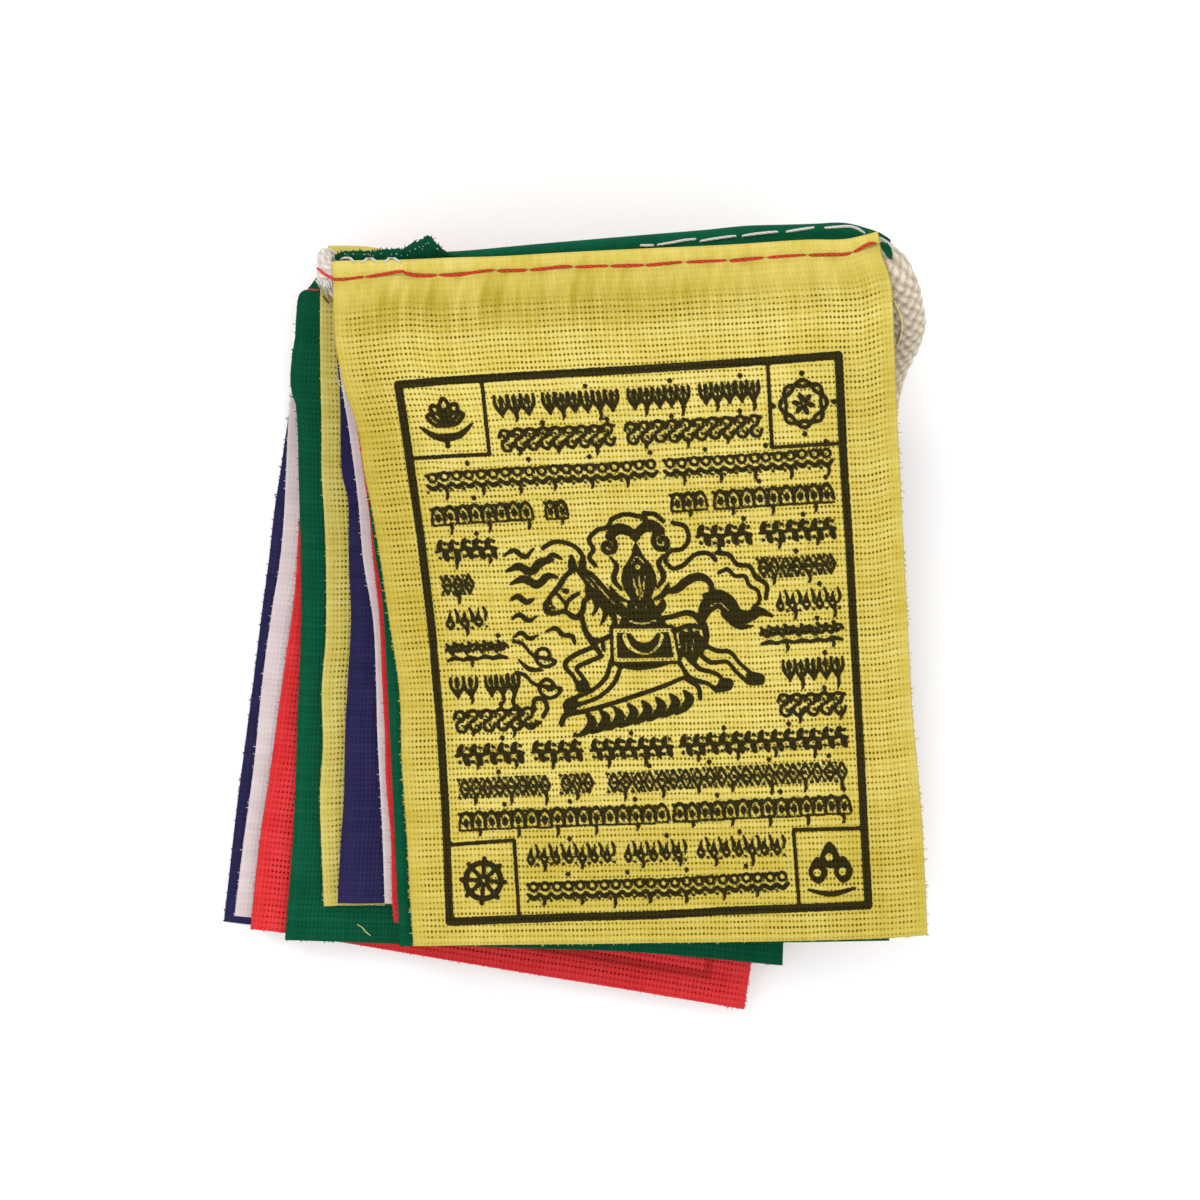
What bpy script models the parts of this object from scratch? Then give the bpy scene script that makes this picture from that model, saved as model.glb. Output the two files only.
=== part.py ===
"""Ten small cotton flags sewn along one braided cord, folded up flag on flag.

Frame: metres, +Z up. The pile lies on z = 0, seen from above with +X to the
right along the headings and +Y from the lower hems up to the headings.
Flag 1 is on top of the pile and flag 10 lies on the surface. The flags lie
face up and face down in turn, because the string is folded to and fro.
"""
import math

import bmesh
import bpy
import numpy as np
from mathutils import Vector

MM = 0.001

# ---- driving sizes, mm ------------------------------------------------------
CLOTH = 1.0            # flag sheet
HEM_CLOTH = 0.4        # cloth where it is folded round the cord
GAP = 0.3              # air left between neighbouring pieces
CORD_W = 3.0           # the cord pressed flat in a heading, across
CORD_T = 1.1           # and through
TURN_W = 2.1           # the cord where it turns from one flag to the next
TURN_T = 1.7
TURN_OUT = 1.5         # how far its middle turns past the ends of the headings
TAIL_W = 3.5           # the free cord, across
TAIL_T = 2.6           # and through
HEM_OUT = 2.25         # fold of the hem beyond the cord's middle
HEM_HALF = 1.25        # half the height of the hem over the cord
HEM_TIP = 3.2          # raw edge of the seam allowance below the cord's middle
BODY_START = 3.4       # first row of the single cloth below the cord's middle
DROOP = 0.008          # fall of the pile past its edges, mm per mm squared
DROOP_TOP = 0.03       # fall of one flag past the flag below it
STATIONS = 9           # sections across each flag
ROWS = (3.4, 6.5, 10.5, 15.5, 22.0, 30.0, 39.0, 48.0, 57.0, 66.0, 74.5, 82.0)
CELL = 0.5             # grid on which the pile's height is kept
FIELD_X = (-50.0, 52.0)
FIELD_Y = (-56.0, 56.0)

# ---- the flags, from the top of the pile down --------------------------------
# name, colour, left and right end of the cord in the heading, left and right
# lower corner, and how far the side edges bow to the right, all in mm
COLUMNS = ("name", "colour", "head_l", "head_r", "foot_l", "foot_r", "bow_l", "bow_r")
TABLE = (
    ("flag_01_yellow", "yellow", (-29.5, 41.0), (37.7, 44.2), (-19.6, -40.2), (43.0, -38.8), 1.7, 0.0),
    ("flag_02_green", "green", (-28.1, 42.9), (36.8, 46.0), (-21.3, -40.1), (38.4, -39.5), 1.1, 0.0),
    ("flag_03_red", "red", (-28.4, 40.0), (35.8, 42.8), (-22.0, -37.3), (38.5, -36.5), 1.1, 0.0),
    ("flag_04_white", "white", (-28.6, 43.2), (35.3, 46.0), (-23.1, -35.0), (37.0, -33.8), 0.7, 0.0),
    ("flag_05_blue", "blue", (-28.9, 39.9), (32.6, 42.0), (-28.9, -35.0), (32.1, -34.4), 1.4, 0.0),
    ("flag_06_yellow", "yellow", (-29.2, 43.2), (30.7, 44.6), (-30.6, -35.3), (30.3, -34.6), -0.7, 0.0),
    ("flag_07_green", "green", (-30.7, 39.8), (28.5, 38.0), (-35.3, -39.3), (25.3, -42.6), -0.7, 0.0),
    ("flag_08_red", "red", (-29.9, 42.6), (30.5, 33.4), (-39.6, -38.2), (20.5, -47.8), 0.3, 0.0),
    ("flag_09_white", "white", (-30.6, 38.3), (27.4, 31.2), (-41.5, -36.5), (19.2, -42.9), -1.4, 0.0),
    ("flag_10_blue", "blue", (-30.0, 41.1), (28.0, 33.8), (-42.7, -37.2), (18.0, -44.6), -1.6, 0.0),
)
FLAGS = [dict(zip(COLUMNS, row)) for row in TABLE]

COLOURS = {  # linear red, green, blue
    "yellow": (0.74, 0.62, 0.13), "green": (0.004, 0.11, 0.05), "red": (0.74, 0.045, 0.06),
    "white": (0.72, 0.64, 0.66), "blue": (0.025, 0.018, 0.10), "cord": (0.76, 0.72, 0.66),
}


def field_axes():
    nx = int(round((FIELD_X[1] - FIELD_X[0]) / CELL)) + 1
    ny = int(round((FIELD_Y[1] - FIELD_Y[0]) / CELL)) + 1
    return nx, ny


def cell_of(x, y):
    nx, ny = field_axes()
    ix = np.clip(np.rint((x - FIELD_X[0]) / CELL).astype(int), 0, nx - 1)
    iy = np.clip(np.rint((y - FIELD_Y[0]) / CELL).astype(int), 0, ny - 1)
    return ix, iy


def spread(field, droop):
    """Round off the field's steps downwards with a parabola, one way at a time."""
    out = field
    for axis in (0, 1):
        best = out.copy()
        reach = int(math.sqrt(max(float(field.max()), 1.0) / droop) / CELL) + 1
        size = out.shape[axis]
        for n in range(1, min(reach, size - 1)):
            fall = droop * (n * CELL) ** 2
            a = np.take(out, np.arange(n, size), axis=axis) - fall
            b = np.take(out, np.arange(0, size - n), axis=axis) - fall
            if axis == 0:
                best[: size - n] = np.maximum(best[: size - n], a)
                best[n:] = np.maximum(best[n:], b)
            else:
                best[:, : size - n] = np.maximum(best[:, : size - n], a)
                best[:, n:] = np.maximum(best[:, n:], b)
        out = best
    return out


def plan(flag, u, s):
    """Plan point of a flag at u across (0 to 1) and s mm below its cord."""
    hl, hr = np.array(flag["head_l"]), np.array(flag["head_r"])
    fl, fr = np.array(flag["foot_l"]), np.array(flag["foot_r"])
    length = 0.5 * (np.linalg.norm(fl - hl) + np.linalg.norm(fr - hr))
    v = s / length
    p = (1 - v) * ((1 - u) * hl + u * hr) + v * ((1 - u) * fl + u * fr)
    bow = ((1 - u) * flag["bow_l"] + u * flag["bow_r"]) * 4.0 * max(v, 0.0) * (1 - v)
    across = (hr - hl) / np.linalg.norm(hr - hl)
    return p + across * bow


def drop_of(flag):
    hl, hr = np.array(flag["head_l"]), np.array(flag["head_r"])
    fl, fr = np.array(flag["foot_l"]), np.array(flag["foot_r"])
    return 0.5 * (np.linalg.norm(fl - hl) + np.linalg.norm(fr - hr))


def triangle_samples(step):
    """Weights of sample points over a triangle's corners."""
    n = max(2, int(round(1.0 / step)))
    return np.array([(i / n, j / n, 1.0 - (i + j) / n)
                     for i in range(n + 1) for j in range(n + 1 - i)])


WEIGHTS = triangle_samples(1.0 / 22)


def grid_samples(xy, cells=None):
    """Sample points of a grid of plan points as (weights, corner indices, x, y)."""
    rows, cols = xy.shape[:2]
    flat = xy.reshape(-1, 2)
    tris = []
    for i in range(rows - 1):
        for j in range(cols - 1):
            a, b, c, d = i * cols + j, i * cols + j + 1, (i + 1) * cols + j + 1, (i + 1) * cols + j
            tris += [(a, b, c), (a, c, d)]
    tris = np.array(tris)
    idx = np.repeat(tris, len(WEIGHTS), axis=0)
    w = np.tile(WEIGHTS, (len(tris), 1))
    pts = np.einsum("nk,nkc->nc", w, flat[idx])
    return w, idx, pts[:, 0], pts[:, 1]


def lift_clear(z, samples, need):
    """Raise grid heights until every sample of every facet is above need."""
    w, idx, _, _ = samples
    z = z.reshape(-1).copy()
    norm = (w * w).sum(axis=1)
    for _ in range(400):
        short = need - np.einsum("nk,nk->n", w, z[idx])
        bad = short > 0.01
        if not bad.any():
            break
        push = np.zeros_like(z)
        for k in range(3):
            np.maximum.at(push, idx[bad, k], short[bad] * w[bad, k] / norm[bad])
        z += push
    return z


def lay_pile():
    """Lay the flags one on the other, from the surface up."""
    nx, ny = field_axes()
    top = np.zeros((nx, ny))        # real top of what is laid so far
    stack = np.zeros((nx, ny))      # sum of thicknesses, before rounding off
    laid = {}
    us = np.linspace(0.0, 1.0, STATIONS)
    for number in range(len(FLAGS), 0, -1):
        flag = FLAGS[number - 1]
        face_up = number % 2 == 1
        first = number == len(FLAGS)
        base = np.zeros((nx, ny)) if first else np.maximum(spread(stack, DROOP), spread(top, DROOP_TOP))
        clear = 0.0 if first else GAP
        drop = drop_of(flag)
        rows = [s * drop / ROWS[-1] if s > BODY_START else s for s in ROWS]

        # the hem: cord level from what lies below the folded cloth
        hem_s = np.array([-HEM_OUT, -1.2, 0.0, 1.2, HEM_TIP])
        hem_lift = np.array([0.0, 1.1, HEM_HALF, 1.2, 1.1])
        xy = np.array([[plan(flag, u, s) for u in us] for s in hem_s])
        sam = grid_samples(xy)
        ix, iy = cell_of(sam[2], sam[3])
        lift = np.einsum("nk,nk->n", sam[0], hem_lift[sam[1] // STATIONS])
        need = base[ix, iy] + clear + lift
        cord = np.full(STATIONS, 0.0)
        col = sam[1] % STATIONS
        for _ in range(300):
            level = np.einsum("nk,nk->n", sam[0], cord[col])
            short = need - level
            bad = short > 0.01
            if not bad.any():
                break
            push = np.zeros(STATIONS)
            for k in range(3):
                np.maximum.at(push, col[bad, k], short[bad] * 0.6)
            cord += push
        if not first:               # a cord does not kink: round its level off upwards
            for _ in range(3):
                soft = cord.copy()
                soft[1:-1] = 0.25 * cord[:-2] + 0.5 * cord[1:-1] + 0.25 * cord[2:]
                cord = np.maximum(cord, soft)

        # the single cloth below the hem
        xy = np.array([[plan(flag, u, s) for u in us] for s in rows])
        ix, iy = cell_of(xy[..., 0], xy[..., 1])
        z = base[ix, iy] + clear
        if face_up:
            z[0] = np.maximum(z[0], cord - 0.5)
        elif not first:
            z[0] = np.minimum(np.maximum(z[0], cord - HEM_HALF), cord + 0.5)
        sam = grid_samples(xy)
        jx, jy = cell_of(sam[2], sam[3])
        under = top[jx, jy] + clear
        z = lift_clear(z, sam, under).reshape(len(rows), STATIONS)
        if first:
            z[:] = 0.0
            cord[:] = HEM_HALF
        if not face_up:             # the allowance lies over the cloth and must clear the cord
            cord = np.maximum(cord, z[0] - 0.6)
        laid[number] = dict(flag=flag, face_up=face_up, rows=rows, us=us, cord=cord, z=z)

        # what this flag adds to the pile
        surf = np.einsum("nk,nk->n", sam[0], z.reshape(-1)[sam[1]]) + CLOTH
        fresh = np.zeros((nx, ny))
        np.maximum.at(fresh, (jx, jy), surf)
        hem_top = np.array([0.0, 1.1, HEM_HALF, 1.2, 1.1])
        hem_xy = np.array([[plan(flag, u, s) for u in np.linspace(-0.01, 1.01, STATIONS)] for s in hem_s])
        hsam = grid_samples(hem_xy)
        hx, hy = cell_of(hsam[2], hsam[3])
        lev = np.einsum("nk,nk->n", hsam[0], cord[hsam[1] % STATIONS] + hem_top[hsam[1] // STATIONS])
        np.maximum.at(fresh, (hx, hy), lev)
        wide = fresh.copy()         # one cell of margin all round
        for ax, sh in ((0, 1), (0, -1), (1, 1), (1, -1)):
            wide = np.maximum(wide, np.roll(fresh, sh, axis=ax))
        top = np.maximum(top, wide)
        body = np.zeros((nx, ny), bool)
        body[jx, jy] = True
        heads = np.zeros((nx, ny), bool)
        heads[hx, hy] = True
        stack = stack + np.where(heads, 2 * HEM_HALF + GAP, np.where(body, CLOTH + GAP, 0.0))
    return laid


def flag_section(item, j):
    """One closed section of a flag at station j, as plan points and heights.

    It runs from the raw edge of the allowance round the outside of the hem,
    along the outer side of the cloth to the lower edge, and back inside.
    """
    flag, u, cord, z = item["flag"], item["us"][j], item["cord"][j], item["z"][:, j]
    rows = item["rows"]
    up = 1.0 if item["face_up"] else -1.0
    # heights of the cloth's two sides on the first row: outer and inner
    outer0 = z[0] + (CLOTH if up > 0 else 0.0)
    inner0 = z[0] + (0.0 if up > 0 else CLOTH)
    tip_in = inner0 - up * GAP
    tip_out = tip_in - up * HEM_CLOTH
    pts = [
        (HEM_TIP, tip_out),
        (1.3, cord - up * 1.2),
        (-1.1, cord - up * 1.15),
        (-1.95, cord - up * 0.65),
        (-HEM_OUT, cord),
        (-1.95, cord + up * 0.65),
        (-1.1, cord + up * 1.15),
        (1.2, cord + up * HEM_HALF),
        (rows[0], outer0),
    ]
    for s, low in zip(rows[1:], z[1:]):
        pts.append((s, low + (CLOTH if up > 0 else 0.0)))
    for s, low in zip(rows[:0:-1], z[:0:-1]):
        pts.append((s, low + (0.0 if up > 0 else CLOTH)))
    pts += [
        (rows[0], inner0),
        (2.0, cord + up * 0.15),
        (1.0, cord + up * 0.78),
        (-0.95, cord + up * 0.78),
        (-1.82, cord),
        (-0.95, cord - up * 0.78),
        (1.0, cord - up * 0.78),
        (2.0, cord - up * 0.25),
        (HEM_TIP, tip_in),
    ]
    out = []
    for s, h in pts:
        p = plan(flag, u, s)
        out.append((p[0], p[1], h))
    return out


def make_flag(item):
    bm = bmesh.new()
    loops = []
    for j in range(STATIONS):
        loops.append([bm.verts.new(Vector(p) * MM) for p in flag_section(item, j)])
    n = len(loops[0])
    for a, b in zip(loops, loops[1:]):
        for i in range(n):
            k = (i + 1) % n
            bm.faces.new((a[i], a[k], b[k], b[i]))
    bm.faces.new(loops[0])
    bm.faces.new(list(reversed(loops[-1])))
    bm.normal_update()
    bmesh.ops.triangulate(bm, faces=bm.faces[:], quad_method="FIXED", ngon_method="EAR_CLIP")
    bmesh.ops.recalc_face_normals(bm, faces=bm.faces[:])
    return finish(bm, item["flag"]["name"], item["flag"]["colour"])


def material(colour):
    name = "cloth_" + colour if colour != "cord" else "braided_cord"
    mat = bpy.data.materials.get(name)
    if mat is None:
        mat = bpy.data.materials.new(name)
        mat.use_nodes = True
        shader = mat.node_tree.nodes["Principled BSDF"]
        shader.inputs["Base Color"].default_value = (*COLOURS[colour], 1.0)
        shader.inputs["Roughness"].default_value = 0.9 if colour != "cord" else 0.75
        shader.inputs["Metallic"].default_value = 0.0
    return mat


def finish(bm, name, colour):
    mesh = bpy.data.meshes.new(name)
    bm.to_mesh(mesh)
    bm.free()
    obj = bpy.data.objects.new(name, mesh)
    bpy.context.scene.collection.objects.link(obj)
    mesh.materials.append(material(colour))
    return obj


# ---- the cord ----------------------------------------------------------------
# free ends as plan points and heights, mm: from flag 1's heading down the right
# side of the pile, and from flag 10's heading along the surface
TAIL_TOP = ((1.6, 0.1, 0.0), (3.0, -1.2, -0.5), (3.6, -3.6, -2.6), (3.7, -6.4, -6.2), (3.6, -9.0, -10.2),
            (3.0, -11.6, -14.0), (1.9, -14.2, -17.2), (0.7, -17.0, -19.4), (-0.4, -20.0, -20.6))
TAIL_END = ((2.4, -0.2, 0.2), (4.9, 0.4, 0.3), (7.0, 2.0, 0.4), (8.3, 4.4, 0.4), (8.8, 7.0, 0.4))


def cord_points(laid):
    """The cord's route as a list of (x, y, z, width, thickness), flag 1 to flag 10."""
    route = []
    count = len(FLAGS)
    ends = {}
    for number in range(1, count + 1):
        item = laid[number]
        pts = []
        for j, u in enumerate(item["us"]):
            p = plan(item["flag"], u, 0.0)
            pts.append((p[0], p[1], item["cord"][j]))
        if number % 2 == 1:
            pts.reverse()           # odd flags are run from right to left
        ends[number] = pts
    a = ends[1][0]
    for dx, dy, dz in reversed(TAIL_TOP):
        full = min(1.0, (dx * dx + dy * dy + dz * dz) ** 0.5 / 4.0)
        w = CORD_W + (TAIL_W - CORD_W) * full
        t = CORD_T + (TAIL_T - CORD_T) * full
        z = max(a[2] + dz, TAIL_T / 2 + 0.1)
        route.append((a[0] + dx, a[1] + dy, z, w, t))
    for number in range(1, count + 1):
        pts = ends[number]
        for k, p in enumerate(pts):
            route.append((*p, CORD_W, CORD_T))
        if number == count:
            break
        # the turn to the next flag: out past both ends, round, and back
        p, q = np.array(pts[-1]), np.array(ends[number + 1][0])
        side = -1.0 if number % 2 == 1 else 1.0
        edge = min(p[0], q[0]) if side < 0 else max(p[0], q[0])
        for f, o in ((0.03, 0.45), (0.22, 1.0), (0.78, 1.0), (0.97, 0.45)):
            r = p + (q - p) * f
            x = edge + side * TURN_OUT * o
            route.append((x, r[1], r[2], TURN_W, TURN_T))
    b = ends[count][-1]
    for dx, dy, dz in TAIL_END:
        full = min(1.0, dx / 5.0)
        w = CORD_W + (TAIL_W - CORD_W) * full
        t = CORD_T + (TAIL_T - CORD_T) * full
        route.append((b[0] + dx, b[1] + dy, max(b[2] + dz, t / 2 + 0.1), w, t))
    return route


def sweep(route, name, sides=8):
    """A tube of oval section along the route, flat side level."""
    pts = np.array(route)
    bm = bmesh.new()
    rings = []
    for i, p in enumerate(pts):
        a = pts[max(i - 1, 0), :3]
        b = pts[min(i + 1, len(pts) - 1), :3]
        t = (b - a) / np.linalg.norm(b - a)
        side = np.cross((0.0, 0.0, 1.0), t)
        side /= np.linalg.norm(side)
        up = np.cross(t, side)
        ring = []
        for k in range(sides):
            ang = 2 * math.pi * k / sides
            v = p[:3] + side * (p[3] / 2 * math.cos(ang)) + up * (p[4] / 2 * math.sin(ang))
            ring.append(bm.verts.new(Vector(v) * MM))
        rings.append(ring)
    for a, b in zip(rings, rings[1:]):
        for k in range(sides):
            m = (k + 1) % sides
            bm.faces.new((a[k], a[m], b[m], b[k]))
    bm.faces.new(list(reversed(rings[0])))
    bm.faces.new(rings[-1])
    bm.normal_update()
    bmesh.ops.triangulate(bm, faces=bm.faces[:])
    bmesh.ops.recalc_face_normals(bm, faces=bm.faces[:])
    return finish(bm, name, "cord")


def main():
    for obj in list(bpy.data.objects):
        bpy.data.objects.remove(obj, do_unlink=True)
    laid = lay_pile()
    flags = [make_flag(laid[number]) for number in range(1, len(FLAGS) + 1)]
    cord = sweep(cord_points(laid), "cord")
    # the origin is under the middle of the flags' box, and the lowest flag is on z = 0
    spots = np.array([v.co[:] for obj in flags for v in obj.data.vertices])
    low, high = spots.min(axis=0), spots.max(axis=0)
    move = Vector((-(low[0] + high[0]) / 2, -(low[1] + high[1]) / 2, -low[2]))
    for obj in flags + [cord]:
        for v in obj.data.vertices:
            v.co += move


main()
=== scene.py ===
import math

import bpy
import numpy as np
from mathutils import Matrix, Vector
from mathutils.bvhtree import BVHTree


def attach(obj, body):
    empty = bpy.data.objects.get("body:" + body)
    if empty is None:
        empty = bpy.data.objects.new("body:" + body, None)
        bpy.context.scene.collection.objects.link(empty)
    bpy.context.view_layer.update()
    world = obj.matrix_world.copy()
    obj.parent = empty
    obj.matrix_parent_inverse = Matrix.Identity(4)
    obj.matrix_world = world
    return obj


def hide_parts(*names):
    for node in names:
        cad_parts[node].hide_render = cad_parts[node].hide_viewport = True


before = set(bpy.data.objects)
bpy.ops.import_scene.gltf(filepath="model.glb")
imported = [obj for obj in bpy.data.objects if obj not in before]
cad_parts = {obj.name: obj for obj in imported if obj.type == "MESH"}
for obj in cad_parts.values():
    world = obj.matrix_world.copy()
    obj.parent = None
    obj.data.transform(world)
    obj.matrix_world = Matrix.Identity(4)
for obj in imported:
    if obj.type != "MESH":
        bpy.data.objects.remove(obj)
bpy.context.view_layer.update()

MM = 0.001
rng = np.random.RandomState(20417)


# ----------------------------------------------------------------- the camera
# It looks straight down. Lengths are in millimetres until a mesh is made.

CAM = (2.96, 1.71, 500.0)
PX = 8.2              # picture pixels to the millimetre, 1200 across
LEVEL = 13.0          # at this height

cam_data = bpy.data.cameras.new("camera")
cam_data.sensor_width = 36.0
cam_data.lens = 36.0 * (CAM[2] - LEVEL) / (1200.0 / PX)
cam_data.clip_start, cam_data.clip_end = 0.01, 10.0
camera = bpy.data.objects.new("camera", cam_data)
camera.location = [c * MM for c in CAM]
bpy.context.scene.collection.objects.link(camera)
bpy.context.scene.camera = camera


def at(px, py, z):
    """The point at height z that a picture pixel shows."""
    k = (CAM[2] - z) / (CAM[2] - LEVEL) / PX
    return CAM[0] + (px - 600.0) * k, CAM[1] - (py - 600.0) * k


# ----------------------------------------------------------------- curves

def dense(points, step=0.35, closed=False):
    """A smooth line through the points, as an evenly spaced array."""
    p = np.asarray(points, float)
    if len(p) == 2:
        n = max(2, int(np.linalg.norm(p[1] - p[0]) / step) + 1)
        return p[0] + (p[1] - p[0]) * np.linspace(0, 1, n)[:, None]
    q = np.vstack([p[-1:], p, p[:2]]) if closed else np.vstack([2 * p[0] - p[1], p, 2 * p[-1] - p[-2]])
    out = []
    for i in range(1, len(q) - 2):
        a, b, c, d = q[i - 1], q[i], q[i + 1], q[i + 2]
        n = max(2, int(np.linalg.norm(c[:2] - b[:2]) / step) + 1)
        t = np.linspace(0, 1, n, endpoint=False)[:, None]
        # tangents are held back on uneven spans, so that the line doesn't overshoot
        lab, lbc, lcd = (max(1e-6, np.linalg.norm(v)) for v in (b - a, c - b, d - c))
        mb = (c - a) * lbc / (lab + lbc)
        mc = (d - b) * lbc / (lbc + lcd)
        out.append((2 * t**3 - 3 * t**2 + 1) * b + (t**3 - 2 * t**2 + t) * mb
                   + (-2 * t**3 + 3 * t**2) * c + (t**3 - t**2) * mc)
    out.append(q[-2][None] if not closed else q[1][None])
    return np.vstack(out)


def length_of(p):
    return np.concatenate([[0.0], np.cumsum(np.linalg.norm(np.diff(p, axis=0), axis=1))])


def along(points, t):
    """Points at fractions t of a smooth line's length."""
    p = dense(points, 1.5)
    s = length_of(p)
    s = s / s[-1]
    return np.stack([np.interp(t, s, p[:, k]) for k in range(p.shape[1])], axis=-1)


def ease(x, lo, hi):
    t = np.clip((np.asarray(x, float) - lo) / (hi - lo), 0.0, 1.0)
    return t * t * (3 - 2 * t)


def bell(x, width):
    return np.exp(-(np.asarray(x, float) / width) ** 2)


def waves(seed, count, shortest, longest):
    """A smooth, seeded, uneven function of one number, about -1 to 1."""
    r = np.random.RandomState(seed)
    lam = np.exp(r.uniform(np.log(shortest), np.log(longest), count))
    ph = r.uniform(0, 2 * np.pi, count)
    am = lam ** 0.5
    am = am / np.sqrt((am ** 2).sum() / 2) / 1.6

    def f(x):
        x = np.asarray(x, float)
        return sum(a * np.sin(2 * np.pi * x / l + p) for a, l, p in zip(am, lam, ph))
    return f


# ----------------------------------------------------------------- the pile's heights, from the frame

SHIFT = (-0.15, -0.2397)
CAD = {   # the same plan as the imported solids: heading left and right, foot left and right
    1: ((-29.5, 41.0), (37.7, 44.2), (-19.6, -40.2), (43.0, -38.8)),
    2: ((-28.1, 42.9), (36.8, 46.0), (-21.3, -40.1), (38.4, -39.5)),
    3: ((-28.4, 40.0), (35.8, 42.8), (-22.0, -37.3), (38.5, -36.5)),
    4: ((-28.6, 43.2), (35.3, 46.0), (-23.1, -35.0), (37.0, -33.8)),
    5: ((-28.9, 39.9), (32.6, 42.0), (-28.9, -35.0), (32.1, -34.4)),
    6: ((-29.2, 43.2), (30.7, 44.6), (-30.6, -35.3), (30.3, -34.6)),
    7: ((-30.7, 39.8), (28.5, 38.0), (-35.3, -39.3), (25.3, -42.6)),
    8: ((-29.9, 42.6), (30.5, 33.4), (-39.6, -38.2), (20.5, -47.8)),
    9: ((-30.6, 38.3), (27.4, 31.2), (-41.5, -36.5), (19.2, -42.9)),
    10: ((-30.0, 41.1), (28.0, 33.8), (-42.7, -37.2), (18.0, -44.6)),
}
NODES = {1: "flag_01_yellow", 2: "flag_02_green", 3: "flag_03_red", 4: "flag_04_white", 5: "flag_05_blue",
         6: "flag_06_yellow", 7: "flag_07_green", 8: "flag_08_red", 9: "flag_09_white", 10: "flag_10_blue"}
GX = np.arange(-50.0, 52.5, 1.0)
GY = np.arange(-56.0, 56.5, 1.0)


def shots(name):
    """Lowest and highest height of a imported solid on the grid, NaN beside it."""
    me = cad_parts[name].data
    pts = [v.co * 1000.0 for v in me.vertices]
    tree = BVHTree.FromPolygons(pts, [tuple(p.vertices) for p in me.polygons])
    xs, ys = [p.x for p in pts], [p.y for p in pts]
    low = np.full((len(GY), len(GX)), np.nan)
    top = low.copy()
    up, down = Vector((0, 0, 1)), Vector((0, 0, -1))
    for i, y in enumerate(GY):
        if not min(ys) <= y <= max(ys):
            continue
        for j, x in enumerate(GX):
            if not min(xs) <= x <= max(xs):
                continue
            hit = tree.ray_cast(Vector((x, y, -20.0)), up)[0]
            if hit is not None:
                low[i, j] = hit.z
                top[i, j] = tree.ray_cast(Vector((x, y, 80.0)), down)[0].z
    return low, top


def filled(f):
    """The field carried on past its edge, level."""
    f = f.copy()
    for _ in range(200):
        known = ~np.isnan(f)
        if known.all():
            break
        g = np.pad(np.where(known, f, 0.0), 1)
        w = np.pad(known.astype(float), 1)
        s, n = np.zeros_like(f), np.zeros_like(f)
        for a in (0, 1, 2):
            for b in (0, 1, 2):
                s += g[a:a + f.shape[0], b:b + f.shape[1]]
                n += w[a:a + f.shape[0], b:b + f.shape[1]]
        new = ~known & (n > 0)
        f[new] = s[new] / n[new]
    return f


def softened(f, sigma):
    r = int(sigma * 3) + 1
    k = np.exp(-0.5 * (np.arange(-r, r + 1) / sigma) ** 2)
    k /= k.sum()
    g = np.pad(f, r, mode="edge")
    g = np.apply_along_axis(lambda v: np.convolve(v, k, "valid"), 0, g)
    return np.apply_along_axis(lambda v: np.convolve(v, k, "valid"), 1, g)


def lookup(f, x, y):
    """Bilinear height of a field at x, y."""
    x, y = np.asarray(x, float), np.asarray(y, float)
    a = np.clip((x - GX[0]), 0, len(GX) - 1.001)
    b = np.clip((y - GY[0]), 0, len(GY) - 1.001)
    i, j = np.floor(b).astype(int), np.floor(a).astype(int)
    p, q = b - i, a - j
    return ((f[i, j] * (1 - q) + f[i, j + 1] * q) * (1 - p)
            + (f[i + 1, j] * (1 - q) + f[i + 1, j + 1] * q) * p)


BODY, HEM_Z = {}, {}
XX, YY = np.meshgrid(GX, GY)
for number, name in NODES.items():
    low, top = shots(name)
    hl, hr = (np.array(p) + SHIFT for p in CAD[number][:2])
    d = (hr - hl) / np.linalg.norm(hr - hl)
    below = -((XX - hl[0]) * -d[1] + (YY - hl[1]) * d[0])
    body = np.where(below > 3.9, low, np.nan)
    body = softened(filled(body), 1.5) + (0.5 if number < 10 else 0.19)
    mid = softened(filled(np.where(np.abs(below) < 1.3, (low + top) / 2, np.nan)), 1.2)
    us = np.linspace(0.04, 0.96, 24)
    line = hl + (hr - hl) * us[:, None]
    fit = np.polyfit(us, lookup(mid, line[:, 0], line[:, 1]), 2)
    BODY[number], HEM_Z[number] = body, fit


# ----------------------------------------------------------------- outlines, in picture pixels

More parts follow.
